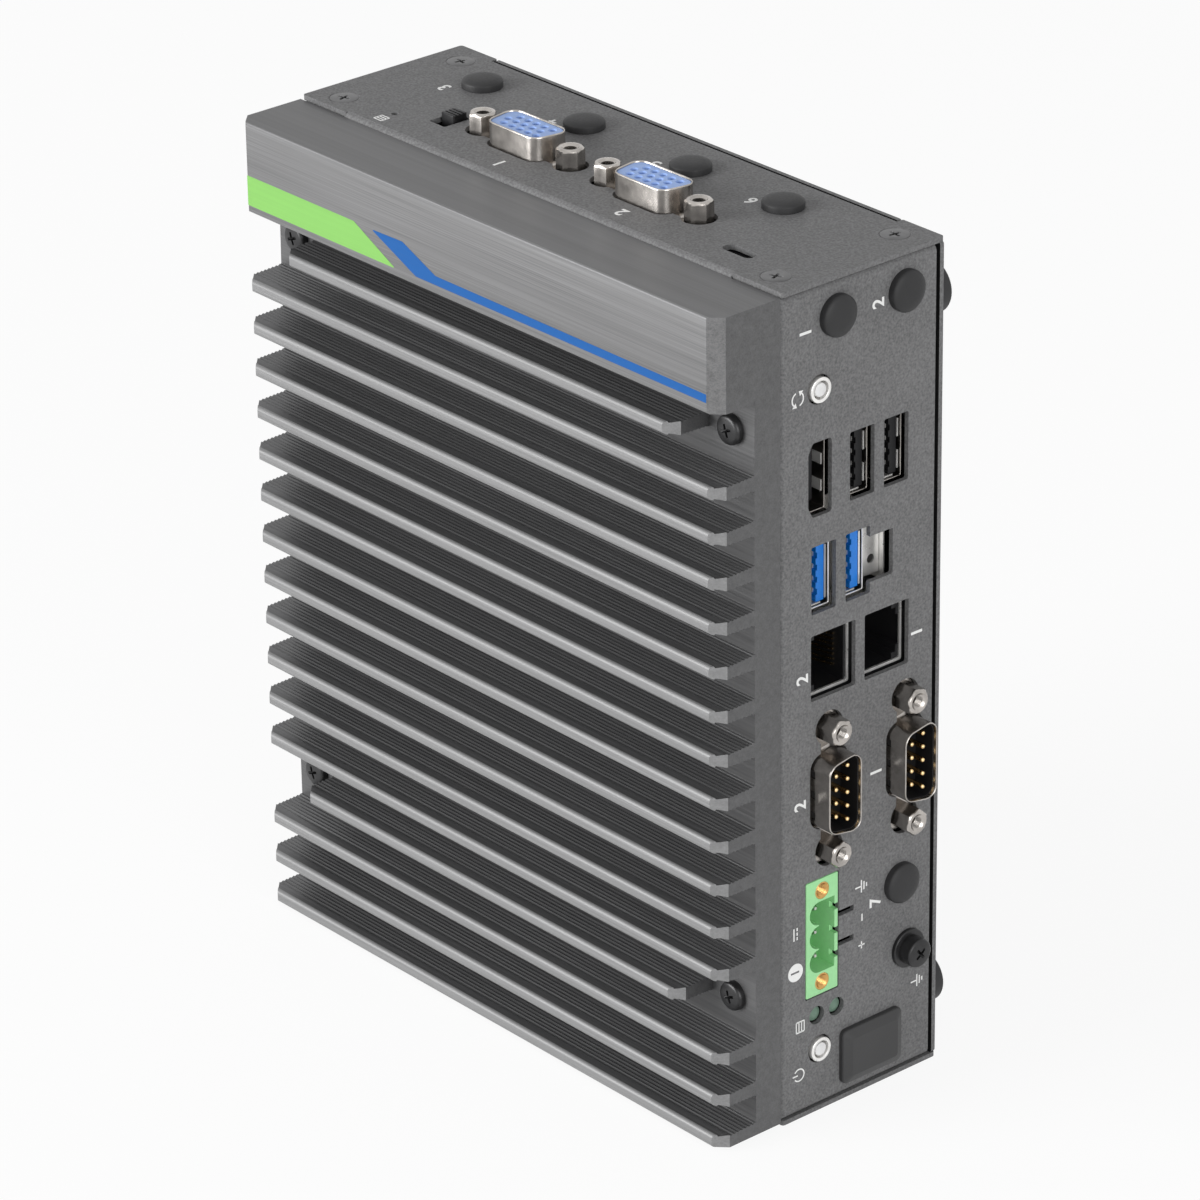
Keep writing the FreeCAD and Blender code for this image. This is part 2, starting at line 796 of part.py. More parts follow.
def antenna_plug(place, axis):
    """Rubber plug pushed into an antenna hole: bevelled head and a stem through the sheet."""
    edge = plug_head_height / 2
    head = turned([(plug_head_radius, 0), (plug_head_radius, plug_head_height - edge),
                   (plug_head_radius - edge, plug_head_height)], place, axis, round_sides)
    return fused([head, post(plug_stem_radius, place, -1 * axis, plug_stem_length)])


def port_cover():
    """Rubber cover over the spare port: a bevelled pad outside and a plug through the wall."""
    centre, size = local(cover_plug[:2]), cover_plug[2:]
    rim = cover_plug_height / 2
    pad = prism("yz", eased(rectangle(centre, size), cover_plug_corner), half_width, rim)
    rings = []
    for level, shrink in ((rim, cover_plug_rim), (cover_plug_height, cover_plug_rim + cover_plug_bevel)):
        outline = rectangle(centre, grown(size, -shrink))
        rings.append([Vector(half_width + level, a, b) for a, b in outline])
    plug = rectangle(centre, grown(size, -cover_plug_bevel / 2 - thread_clearance))
    return fused([pad, stacked(rings), prism("yz", plug, half_width - 3 * sheet, 3 * sheet)])


def ground_parts():
    """Ground screw and its washer on the connector side."""
    axis = Vector(1, 0, 0)
    bore = panel_screw_radius + thread_clearance
    washer = post(ground_washer_radius, side_point(ground_screw), axis, ground_washer_height, round_sides)
    washer = washer.cut(post(bore, side_point(ground_screw), axis, ground_washer_height))
    screw = pan_screw(side_point(ground_screw, ground_washer_height), axis, ground_head_radius,
                      ground_head_height, panel_screw_radius, panel_screw_length)
    top = side_point(ground_screw, ground_washer_height + ground_head_height)
    return screw.cut(cross_recess(top, axis)), washer


def mainboard():
    """Main circuit board with its fixing holes and notches for the socket pins left out."""
    low_x, high_x = board_margin - inner_x, inner_x - board_margin
    low_z, high_z = floor_z + board_end_gap, ceiling_z - board_end_gap
    board = block(low_x, high_x, seat_y + board_front, board_y, low_z, high_z)
    holes = []
    for point in board_screw_points():
        holes.append(post(heatsink_screw_shank + screw_clearance, point, Vector(0, -1, 0), board_thickness))
    return board.cut(holes)


def chip_stack():
    """Processor package, thermal pad and the heat block that reaches the heatsink's back through the web."""
    half = chip_size / 2
    low, high = chip_centre_z - half, chip_centre_z + half
    chip_y = seat_y + board_front - chip_height
    chip = block(-half, half, chip_y, seat_y + board_front, low, high)
    pad = block(-half + 1, half - 1, chip_y - pad_thickness, chip_y, low + 1, high - 1)
    plate = block(-half - 1, half + 1, seat_y, chip_y - pad_thickness, low - 1, high + 1)
    return chip, pad, plate


def card_in_socket(corner, socket_size, module_size):
    """Edge socket on the board and the card that is pushed into it, level with the board and pointing up."""
    (x, z), (width, thick, height) = corner, socket_size
    card_width, card_thick, card_height = module_size
    middle = x + width / 2
    card_y = board_y + thick / 2
    socket = block(x, x + width, board_y, board_y + thick, z, z + height)
    slot = block(middle - card_width / 2 - thread_clearance, middle + card_width / 2 + thread_clearance,
                 card_y - thread_clearance, card_y + card_thick + thread_clearance,
                 z + height - card_grip, z + height)
    card = block(middle - card_width / 2, middle + card_width / 2, card_y, card_y + card_thick,
                 z + height - card_grip, z + height - card_grip + card_height)
    return socket.cut(slot), card


def card_chips(card, size, across, count, low, high):
    """Row of chips on the face of a card, across its width or along its height, between two levels."""
    box = card.BoundBox
    width, thick, height = size
    chips = []
    for index in range(count):
        share = (index + 0.5) / count
        x = box.XMin + box.XLength * share if across else (box.XMin + box.XMax) / 2
        z = (low + high) / 2 if across else low + (high - low) * share
        corner = Vector(x - width / 2, box.YMax, z - height / 2)
        chips.append(Part.makeBox(width, thick, height, corner))
    return fused([card] + chips)


def memory_parts():
    """Memory socket and its module."""
    socket, card = card_in_socket(memory_corner, memory_socket_size, memory_module_size)
    low = socket.BoundBox.ZMax
    return socket, card_chips(card, memory_chip, True, memory_chip_count, low, card.BoundBox.ZMax)


def drive_parts():
    """Solid-state drive module in its edge socket."""
    socket, card = card_in_socket(drive_corner, drive_socket_size, drive_module_size)
    low = socket.BoundBox.ZMax
    return socket, card_chips(card, drive_chip, False, drive_chip_count, low, card.BoundBox.ZMax)


def coin_cell_parts():
    """Clock battery and the holder that it sits in."""
    x, z = coin_cell_centre
    seat = Vector(x, board_y + coin_cell_lift, z)
    half = coin_cell_radius + coin_holder_wall
    holder = block(x - half, x + half, board_y, seat.y + coin_cell_height, z - half, z + half)
    pocket = post(coin_cell_radius + thread_clearance, seat, Vector(0, 1, 0), coin_cell_height, round_sides)
    cell = post(coin_cell_radius, seat, Vector(0, 1, 0), coin_cell_height, round_sides)
    return holder.cut(pocket), cell


def socket_tube(outline, inner):
    """Sheet-metal tube of a socket, open towards the panel and closed at its back."""
    mouth = inner_x - socket_recess
    tube = prism("yz", outline, mouth - socket_depth, socket_depth)
    return tube.cut(prism("yz", inner, mouth - socket_depth + shell_wall, socket_depth))


def data_shell(pair, reach, clear_reach=0.0):
    """Shell of two stacked data sockets; clear_reach is how far its box stands over a lower socket."""
    centres = data_centres(pair)
    inner = grown(data_mouth, -shell_wall)
    shells = [socket_tube(rectangle(centre, data_mouth), rectangle(centre, inner)) for centre in centres]
    mouth = inner_x - socket_recess
    back = mouth - socket_depth
    half = (data_mouth[1] + shell_box_margin) / 2
    gap = video_mouth[1] / 2 + cutout_margin
    if clear_reach:
        half = gap + shell_wall + cutout_margin
    box = block(back, mouth - shell_box_sink, board_y, seat_y + reach, pair[1] - half, pair[1] + half)
    if clear_reach:
        box = box.cut(block(back, mouth, board_y, seat_y + clear_reach, pair[1] - gap, pair[1] + gap))
    inside = [prism("yz", rectangle(centre, inner), back + shell_wall, socket_depth) for centre in centres]
    return fused([box] + shells).cut(inside)


def data_tongues(pair):
    """Plastic bodies of two stacked data sockets: a back block and the tongue that carries the contacts."""
    mouth = inner_x - socket_recess
    solids = []
    for y, z in data_centres(pair):
        inside = grown(data_mouth, -shell_wall - insert_clearance)
        start = mouth - socket_depth + shell_wall
        back = prism("yz", rectangle((y, z), inside), start, tongue_root)
        tongue_y = y - data_mouth[0] / 2 + shell_wall + tongue_gap_front
        tongue = block(start, mouth - tongue_sink, tongue_y, tongue_y + tongue_thickness,
                       z - tongue_length / 2, z + tongue_length / 2)
        solids.append(fused([back, tongue]))
    return solids


def video_parts():
    """Video socket: shell with slanted shoulders and the plastic body with its tongue."""
    centre = local(video_socket)
    shell = socket_tube(video_outline(centre), video_outline(centre, -shell_wall))
    mouth = inner_x - socket_recess
    half = video_mouth[1] / 2 - video_shoulder
    foot = block(mouth - socket_depth, mouth - shell_box_sink, board_y,
                 centre[0] - video_mouth[0] / 2 + shell_wall, centre[1] - half, centre[1] + half)
    start = mouth - socket_depth + shell_wall
    shell = fused([shell, foot]).cut(prism("yz", video_outline(centre, -shell_wall), start, socket_depth))
    back = prism("yz", video_outline(centre, -shell_wall - insert_clearance), start, tongue_root)
    y, z = centre
    tongue = block(start, mouth - shell_box_sink, y - video_tongue[0] / 2, y + video_tongue[0] / 2,
                   z - video_tongue[1] / 2, z + video_tongue[1] / 2)
    return shell, fused([back, tongue])


def jack_cavity(centre, latch_side):
    """Plug space of a network jack: a rectangle with the latch channel on one side."""
    y, z = centre
    width, height = jack_mouth[0] - 2 * latch_depth, jack_mouth[1] - 2 * jack_lip
    middle = y - latch_side * jack_shift
    body = rectangle((middle, z), (width, height))
    latch = rectangle((middle + latch_side * width / 2, z), (2 * latch_depth, latch_width))
    return body, latch


def network_parts():
    """Stacked pair of network jacks: shield, plastic body with stepped openings, and the spring contacts."""
    mouth = inner_x - socket_recess
    depth = socket_depth + jack_body_extra
    high_y = seat_y + jack_centres[1][0] + jack_mouth[0] / 2 + jack_body_wall
    middle = ((board_y + high_y) / 2, jack_centres[0][1])
    size = (high_y - board_y, jack_mouth[1] + 2 * jack_body_wall)
    inner = rectangle(middle, grown(size, -shell_wall))
    shield = prism("yz", rectangle(middle, size), mouth - depth, depth)
    shield = shield.cut(prism("yz", inner, mouth - depth + shell_wall, depth))
    body_outline = rectangle(middle, grown(size, -shell_wall - insert_clearance))
    body = prism("yz", body_outline, mouth - depth + shell_wall, depth - 2 * shell_wall)
    cuts, contacts = [], []
    for place, latch_side in zip(jack_centres, (-1, 1)):
        y, z = local(place)
        for outline in jack_cavity((y, z), latch_side):
            cuts.append(prism("yz", outline, mouth - jack_opening, jack_opening + 1))
        wall_y = y - latch_side * (jack_shift + jack_mouth[0] / 2 - latch_depth)
        heel_sink, heel_rise = jack_contact_heel
        for index in range(jack_contact_count):
            level = z + (index - (jack_contact_count - 1) / 2) * jack_contact_pitch
            heel = Vector(mouth - heel_sink, wall_y + latch_side * heel_rise, level)
            toe = Vector(mouth - jack_opening, wall_y + latch_side * jack_contact_reach, level)
            contacts.append(contact_wire(heel, toe, jack_contact_width))
    return shield, body.cut(cuts), contacts


def contact_wire(heel, toe, width):
    """Straight square spring wire between two points of one level, cut square to the X axis at both ends."""
    corners = [(heel.x, heel.y - width / 2), (heel.x, heel.y + width / 2),
               (toe.x, toe.y + width / 2), (toe.x, toe.y - width / 2)]
    return prism("xy", corners, heel.z - width / 2, width)


def port_shell(centre, upright):
    """Port shell: a slant-sided collar on a flange that stands just behind the panel."""
    level = flange_x if upright else top_flange_z
    face = half_width if upright else case_height
    plane = "yz" if upright else "xy"
    length, width, thickness = port_flange
    size = (width, length) if upright else (length, width)
    flange = prism(plane, rectangle(centre, size), level - thickness, thickness)
    reach = face + port_stand - level
    collar = prism(plane, port_outline(centre, upright), level, reach)
    inner_outline = port_outline(centre, upright, -shell_wall)
    inner = prism(plane, inner_outline, level - thickness - 1, reach + thickness + 2)
    return fused([flange, collar]).cut(inner)


def serial_insert(centre):
    """Plastic body of a pin port: it fills the shell's foot, so that the pins stand free above it."""
    back = flange_x - port_flange[2] - insert_tail
    face = flange_x + serial_floor
    outline = port_outline(centre, True, -shell_wall - insert_clearance)
    return prism("yz", outline, back, face - back)


def serial_pins():
    """Gold pins of both serial ports: a row of five at the wide side and a row of four."""
    solids = []
    for place in serial_ports:
        y, z = local(place)
        for count, side in ((5, 1), (4, -1)):
            for index in range(count):
                level = z + (index - (count - 1) / 2) * pin_pitch
                start = Vector(flange_x + serial_floor, y + side * pin_row / 2, level)
                length = half_width + port_stand - pin_sink - start.x
                solids.append(post(pin_radius, start, Vector(1, 0, 0), length))
    return solids


def top_insert(centre):
    """Plastic body of a hole port: flush in the shell's mouth, with three rows of five contact holes."""
    back = top_flange_z - port_flange[2] - insert_tail
    face = case_height + port_stand - top_insert_sink
    outline = port_outline(centre, False, -shell_wall - insert_clearance)
    body = prism("xy", outline, back, face - back)
    holes = []
    for row in (-1, 0, 1):
        shift = contact_pitch / 4 if row == 0 else -contact_pitch / 4
        for index in range(5):
            x = centre[0] + shift + (index - 2) * contact_pitch
            mouth = Vector(x, centre[1] + row * contact_row, face)
            holes.append(post(contact_hole, mouth, Vector(0, 0, -1), contact_hole_depth))
    return body.cut(holes)


def jackscrew(point, axis):
    """Hexagonal jackscrew that seats on a port's flange, tapped from its outer end."""
    radius = jackscrew_flats / 2 / math.cos(math.radians(30))
    height = sheet + port_flange_gap + jackscrew_stand
    bore = rod(jackscrew_thread, point + axis * height, -1 * axis, jackscrew_bore_depth)
    return post(radius, point, axis, height).cut(bore)


def jackscrews():
    """The eight jackscrews of the four ports."""
    solids = []
    for place in serial_ports:
        for point in jackscrew_points(local(place), True, flange_x):
            solids.append(jackscrew(point, Vector(1, 0, 0)))
    for place in top_ports:
        for point in jackscrew_points((place[0], seat_y + place[1]), False, top_flange_z):
            solids.append(jackscrew(point, Vector(0, 0, 1)))
    return solids


def header_parts():
    """Power header: green housing with scalloped bays, three square pins and two threaded brass inserts."""
    y, z = local(header_centre)
    face = half_width
    housing = prism("yz", rectangle((y, z), header_size), face - header_depth, header_depth)
    half = header_size[1] / 2
    foot = block(face - header_depth, inner_x - seam, board_y, y, z - half, z + half)
    housing = fused([housing, foot])
    back = face - header_cavity_depth
    cuts, pins, inserts = [], [], []
    span = header_poles * header_pitch
    wide = y + header_size[0] / 2 - header_wall
    scallop = (header_pitch - header_rib) / 2
    notch = header_notch / 2
    pin = header_pin / 2
    cuts.append(block(back, face + 1, y - notch, wide, z - span / 2, z + span / 2))
    for index in range(header_poles):
        bay_z = z + (index - (header_poles - 1) / 2) * header_pitch
        centre = Vector(back, y - header_size[0] / 2 + header_wall + scallop, bay_z)
        cuts.append(post(scallop, centre, Vector(1, 0, 0), header_cavity_depth + 1, small_sides))
        cuts.append(block(back, face + 1, wide, y + header_size[0] / 2 + 1, bay_z - notch, bay_z + notch))
        tip = face - header_pin_sink
        pins.append(block(back - header_pin, tip, y - pin, y + pin, bay_z - pin, bay_z + pin))
    for side in (-1, 1):
        mouth = Vector(face, y, z + side * header_insert_spacing / 2)
        tube = post(header_insert_radius, mouth, Vector(-1, 0, 0), header_insert_length, head_sides)
        inserts.append(tube.cut(rod(header_thread, mouth, Vector(-1, 0, 0), header_insert_length)))
        cuts.append(tube)
    return housing.cut(cuts + pins), pins, inserts


def status_lamps():
    """Two status lamps behind the connector side and a small one under the pinhole of the top panel."""
    solids = []
    axis = Vector(1, 0, 0)
    for place in lamp_points:
        lens = turned([(lamp_radius, -lamp_length), (lamp_radius, -lamp_radius / 2), (lamp_radius / 2, 0)],
                      side_point(place, -lamp_sink), axis, small_sides)
        foot = block(lens.BoundBox.XMin, lens.BoundBox.XMax - lamp_length / 2, board_y, seat_y + place[0],
                     place[1] - lamp_radius, place[1] + lamp_radius)
        solids.append(fused([lens, foot]))
    x, depth = pinhole
    half = small_lamp / 2
    top = ceiling_z - sheet
    solids.append(block(x - half, x + half, board_y, seat_y + depth + half, top - lamp_length, top))
    return solids


def push_button(place):
    """Push button: fixed bushing and switch body in one, and the cap that slides in it."""
    centre = side_point(place)
    axis = Vector(1, 0, 0)
    face = half_width + bushing_stand
    body_front = inner_x - button_body_gap
    body = block(body_front - button_body / 2, body_front, board_y, centre.y + button_body / 2,
                 place[1] - button_body / 2, place[1] + button_body / 2)
    bushing = turned([(bushing_radius, body_front - half_width), (bushing_radius, bushing_stand)],
                     centre, axis, round_sides)
    bore_floor = body_front - button_travel - seam
    floor = Vector(bore_floor, centre.y, centre.z)
    bore = post(bushing_bore, floor, axis, face - bore_floor + 1, small_sides)
    lift = button_travel + seam / 2
    length = face - button_cap_sink - bore_floor - lift
    cap = post(button_cap_radius, floor + axis * lift, axis, length, small_sides)
    return fused([body, bushing]).cut(bore), cap


def slide_switch():
    """Slide switch under the top panel: a body with a channel and a knob that stands up through the slot."""
    x, depth, width, length = switch_slot
    knob_width, knob_length, knob_stand = switch_knob
    y = seat_y + depth
    top = ceiling_z - seam
    low = top - switch_body_height
    half = width / 2 + switch_wall
    body = block(x - half, x + half, board_y, y + length / 2 + switch_wall, low, top)
    channel_low = top - switch_channel
    channel = block(x - knob_width / 2 - switch_clearance, x + knob_width / 2 + switch_clearance,
                    y - length / 2, y + length / 2, channel_low, top + 1)
    back = y + length / 2 - switch_clearance
    knob = prism("xy", rectangle((x, back - knob_length / 2), (knob_width, knob_length)),
                 channel_low + seam / 2, case_height + knob_stand - channel_low - seam / 2)
    return body.cut(channel), knob


def flash_socket_body():
    """Small recessed socket behind the slot of the top panel, carried on the board."""
    x, depth, width, height = flash_socket
    y = seat_y + depth
    top = ceiling_z - seam
    half = width / 2 + seam
    low = top - flash_body_height
    body = block(x - half, x + half, board_y, y + height / 2 + seam, low, top)
    outline = rectangle((x, y), grown((width, height), -seam))
    mouth = prism("xy", outline, low + flash_floor, flash_body_height)
    blade, half = flash_tongue[1] / 2, flash_tongue[0] / 2
    tongue = block(x - half, x + half, y - blade, y + blade, low, top - flash_tongue_sink)
    return fused([body.cut(mouth), tongue])


def parts():
    """Every node by name; a list is a group of like solids."""
    video_reach = video_socket[0] + video_mouth[0] / 2 + cutout_margin
    nodes = {
        "heatsink": heatsink(),
        "heatsink_screws": heatsink_screws(),
        "chassis_frame": chassis_frame(),
        "top_panel": top_panel(),
        "bottom_panel": bottom_panel(),
        "back_cover": back_cover(),
        "panel_screws": panel_screws(),
        "rubber_feet": rubber_feet(),
        "port_cover": port_cover(),
        "mainboard": mainboard(),
        "board_standoffs": board_standoffs(),
        "board_screws": board_screws(),
        "black_data_shell": data_shell(black_pair, black_shell_reach, video_reach),
        "black_data_tongues": data_tongues(black_pair),
        "blue_data_shell": data_shell(blue_pair, blue_shell_reach),
        "blue_data_tongues": data_tongues(blue_pair),
        "serial_pins": serial_pins(),
        "jackscrews": jackscrews(),
        "status_lamps": status_lamps(),
        "flash_socket": flash_socket_body(),
    }
    for number, x in enumerate(top_plug_x, 3):
        nodes[f"antenna_plug_{number}"] = antenna_plug(top_point((x, top_plug_depth)), Vector(0, 0, 1))
    for number, place in zip((1, 2, 7), side_plugs):
        nodes[f"antenna_plug_{number}"] = antenna_plug(side_point(place), Vector(1, 0, 0))
    for number, place in zip((2, 1), serial_ports):
        nodes[f"serial_port_{number}_shell"] = port_shell(local(place), True)
        nodes[f"serial_port_{number}_insert"] = serial_insert(local(place))
    for number, (x, depth) in enumerate(top_ports, 1):
        nodes[f"top_port_{number}_shell"] = port_shell((x, seat_y + depth), False)
        nodes[f"top_port_{number}_insert"] = top_insert((x, seat_y + depth))
    nodes["ground_screw"], nodes["ground_washer"] = ground_parts()
    nodes["processor"], nodes["thermal_pad"], nodes["heat_block"] = chip_stack()
    nodes["memory_socket"], nodes["memory_module"] = memory_parts()
    nodes["drive_socket"], nodes["drive_module"] = drive_parts()
    nodes["coin_cell_holder"], nodes["coin_cell"] = coin_cell_parts()
    nodes["video_shell"], nodes["video_body"] = video_parts()
    nodes["network_shield"], nodes["network_body"], nodes["network_contacts"] = network_parts()
    nodes["power_header"], nodes["header_pins"], nodes["header_inserts"] = header_parts()
    nodes["power_button_body"], nodes["power_button_cap"] = push_button(power_button)
    nodes["reset_button_body"], nodes["reset_button_cap"] = push_button(reset_button)
    nodes["boot_switch_body"], nodes["boot_switch_knob"] = slide_switch()
    return nodes


def main():
    """Build every node and write it to its own file."""
    os.makedirs("parts", exist_ok=True)
    for name, shape in parts().items():
        solid = Part.makeCompound(shape) if isinstance(shape, list) else shape
        solid.exportStep(f"parts/{name}.step")
        print(f"{name}: {len(solid.Solids)} solid(s), {solid.Volume:.1f} mm3, valid {solid.isValid()}")


main()
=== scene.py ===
"""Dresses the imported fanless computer: heatsink, folded case, ports, buttons, plugs and prints.

Sizes are in millimetres until a piece is finished. The frame is the part's own: +X is the connector side, -Y the
fin tips, +Y the back cover, +Z up, with the origin on the underside of the case.
"""
import logging
import math
from collections.abc import Callable, Iterable, Sequence
from dataclasses import dataclass
from enum import Enum

import bmesh
import bpy
from mathutils import Matrix, Vector


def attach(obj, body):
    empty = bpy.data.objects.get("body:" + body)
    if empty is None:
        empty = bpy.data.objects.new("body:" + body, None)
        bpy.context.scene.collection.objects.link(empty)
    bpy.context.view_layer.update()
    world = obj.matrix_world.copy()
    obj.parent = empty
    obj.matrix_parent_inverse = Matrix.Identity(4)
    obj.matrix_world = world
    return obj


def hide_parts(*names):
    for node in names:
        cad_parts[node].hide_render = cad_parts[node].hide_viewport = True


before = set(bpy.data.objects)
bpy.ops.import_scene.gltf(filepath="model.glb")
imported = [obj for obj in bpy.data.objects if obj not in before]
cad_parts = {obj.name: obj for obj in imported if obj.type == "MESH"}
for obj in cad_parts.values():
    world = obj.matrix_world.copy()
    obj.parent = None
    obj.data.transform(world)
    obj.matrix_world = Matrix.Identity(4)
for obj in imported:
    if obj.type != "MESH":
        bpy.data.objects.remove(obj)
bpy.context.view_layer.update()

LOG = logging.getLogger("computer")
MM = 0.001
IDENTITY = Matrix.Identity(4)
THROUGH = (-3.0, 1.0)
WHITE = (1.0, 1.0, 1.0, 1.0)
Point = tuple[float, float]
Size = tuple[float, float, float]
Outline = Sequence[Point]
Levels = Sequence[tuple[Outline, float]]
Mesh = bmesh.types.BMesh
EdgeTest = Callable[[bmesh.types.BMEdge], bool]


@dataclass(frozen=True)
class Case:
    """Sizes of the case that every sub-assembly shares.

    Attributes:
        half_width: Half its width.
        height: Its height.
        tip_y: Plane of the fin tips.
        seat_y: Plane on which the heatsink sits.
        back_y: Outer plane of the back cover.
        sheet: Thickness of its sheets.
        bend: Outer radius of a fold.
        rim: Rounding of a cut edge.
    """

    half_width: float = 67.2
    height: float = 168.0
    tip_y: float = -27.5
    seat_y: float = -12.3
    back_y: float = 27.5
    sheet: float = 1.0
    bend: float = 1.5
    rim: float = 0.14


CASE = Case()


def framed(x: Sequence[float], y: Sequence[float], z: Sequence[float], origin: Sequence[float]) -> Matrix:
    """A frame from its three axes and its origin."""
    return Matrix.Translation(origin) @ Matrix((x, y, z)).transposed().to_4x4()


def side_place(depth: float, level: float) -> Matrix:
    """Frame on the connector side: x runs up, y towards the heatsink and z outwards."""
    return framed((0, 0, 1), (0, -1, 0), (1, 0, 0), (CASE.half_width, CASE.seat_y + depth, level))


def top_place(x: float, depth: float) -> Matrix:
    """Frame on the top panel: x runs away from the connector side, y towards the heatsink and z up."""
    return framed((-1, 0, 0), (0, -1, 0), (0, 0, 1), (x, CASE.seat_y + depth, CASE.height))


def bottom_place(x: float, depth: float) -> Matrix:
    """Frame on the bottom panel, with z downwards."""
    return framed((1, 0, 0), (0, -1, 0), (0, 0, -1), (x, CASE.seat_y + depth, 0))


def front_place(x: float, level: float, y: float) -> Matrix:
    """Frame that faces the fin side: x along the width, y up and z towards the viewer of the fins."""
    return framed((1, 0, 0), (0, 0, 1), (0, -1, 0), (x, y, level))


def back_place(x: float, level: float) -> Matrix:
    """Frame on the back cover: y runs up and z backwards."""
    return framed((-1, 0, 0), (0, 0, 1), (0, 1, 0), (x, CASE.back_y, level))


SECTION = framed((0, 1, 0), (0, 0, 1), (1, 0, 0), (0, 0, 0))


def turned_about(degrees: float) -> Matrix:
    """A turn round the local z axis."""
    return Matrix.Rotation(math.radians(degrees), 4, "Z")


def moved(x: float, y: float = 0.0, z: float = 0.0) -> Matrix:
    """A shift."""
    return Matrix.Translation((x, y, z))


class Signal:
    """A socket's value in a material tree, which Python arithmetic turns into Math nodes."""

    def __init__(self, tree: "Tree", socket: bpy.types.NodeSocket) -> None:
        """Keeps the tree and the socket."""
        self.tree, self.socket = tree, socket

    def maths(self, operation: str, other: object) -> "Signal":
        """The result of a Math node on this and another value."""
        node = self.tree.node("ShaderNodeMath", {"operation": operation}, {0: self, 1: other})
        return Signal(self.tree, node.outputs[0])

    def __add__(self, other: object) -> "Signal":
        """Sum."""
        return self.maths("ADD", other)

    def __mul__(self, other: object) -> "Signal":
        """Product."""
        return self.maths("MULTIPLY", other)

    def __gt__(self, other: object) -> "Signal":
        """One where this is greater."""
        return self.maths("GREATER_THAN", other)

    __radd__, __rmul__ = __add__, __mul__


class Tree:
    """The node tree of one material or world, with its own shader."""

    def __init__(self, owner: bpy.types.Material | bpy.types.World, shader: str = "Principled BSDF") -> None:
        """Opens the owner's nodes and finds its shader."""
        owner.use_nodes = True
        self.nodes, self.links = owner.node_tree.nodes, owner.node_tree.links
        self.shader = self.nodes[shader]
        self.object_coordinates = None

    def node(self, kind: str, settings: dict, values: dict) -> bpy.types.Node:
        """Adds one node.

        Args:
            kind: The node's type.
            settings: Its properties, set first.
            values: Numbers, colours or signals for its inputs, by name or index.

        Returns:
            The node.
        """
        made = self.nodes.new(kind)
        for name, value in settings.items():
            setattr(made, name, value)
        for key, value in values.items():
            self.set_input(made.inputs[key], value)
        return made

    def set_input(self, socket: bpy.types.NodeSocket, value: object) -> None:
        """Links a signal to an input, or sets it to a number or a colour."""
        if isinstance(value, Signal):
            self.links.new(value.socket, socket)
        else:
            socket.default_value = value

    def feed(self, name: str, value: object) -> None:
        """Sets one of the shader's inputs to a signal, a number or a colour."""
        self.set_input(self.shader.inputs[name], value)

    def coordinates(self, size: Size) -> Signal:
        """Object coordinates counted in cells of a size in millimetres."""
        if self.object_coordinates is None:
            source = self.node("ShaderNodeTexCoord", {}, {})
            self.object_coordinates = Signal(self, source.outputs["Object"])
        scale = tuple(1.0 / (MM * value) for value in size)
        mapped = self.node("ShaderNodeMapping", {}, {"Vector": self.object_coordinates, "Scale": scale})
        return Signal(self, mapped.outputs[0])

    def noise(self, size: Size, detail: float) -> Signal:
        """Noise around 0.5 with cells of a size in millimetres."""
        values = {"Vector": self.coordinates(size), "Scale": 1.0, "Detail": detail}
        return Signal(self, self.node("ShaderNodeTexNoise", {}, values).outputs[0])

    def wave(self, size: float, direction: str) -> Signal:
        """Parallel bands with a period of a size in millimetres."""
        settings = {"wave_type": "BANDS", "bands_direction": direction}
        values = {"Vector": self.coordinates((size,) * 3), "Scale": 1.0, "Distortion": 0.0}
        return Signal(self, self.node("ShaderNodeTexWave", settings, values).outputs["Fac"])

    def blend(self, factor: Signal, low: Sequence[float], high: Sequence[float]) -> Signal:
        """Colour between two colours."""
        values = {0: factor, 6: (*low, 1.0), 7: (*high, 1.0)}
        return Signal(self, self.node("ShaderNodeMix", {"data_type": "RGBA"}, values).outputs[2])

    def show_white(self, share: float, output: str) -> None:
        """Lets the camera and reflections see white in place of a share of the shader.

        Args:
            share: How much of what they see is plain white.
            output: The tree's output node.
        """
        path = self.node("ShaderNodeLightPath", {}, {})
        camera, glossy, through = (Signal(self, path.outputs[f"Is {kind} Ray"])
                                   for kind in ("Camera", "Glossy", "Transmission"))
        seen = (camera + glossy + through > 0.5) * share
        white = self.node("ShaderNodeEmission", {}, {"Color": WHITE, "Strength": 1.0})
        mix = self.node("ShaderNodeMixShader", {}, {0: seen})
        self.links.new(self.shader.outputs[0], mix.inputs[1])
        self.links.new(white.outputs[0], mix.inputs[2])
        self.links.new(mix.outputs[0], self.nodes[output].inputs["Surface"])


class Grain(Enum):
    """How a finish's surface is textured."""

    POWDER = "powder"
    BRUSHED = "brushed"
    MOULDED = "moulded"
    PLATED = "plated"
    BOARD = "board"


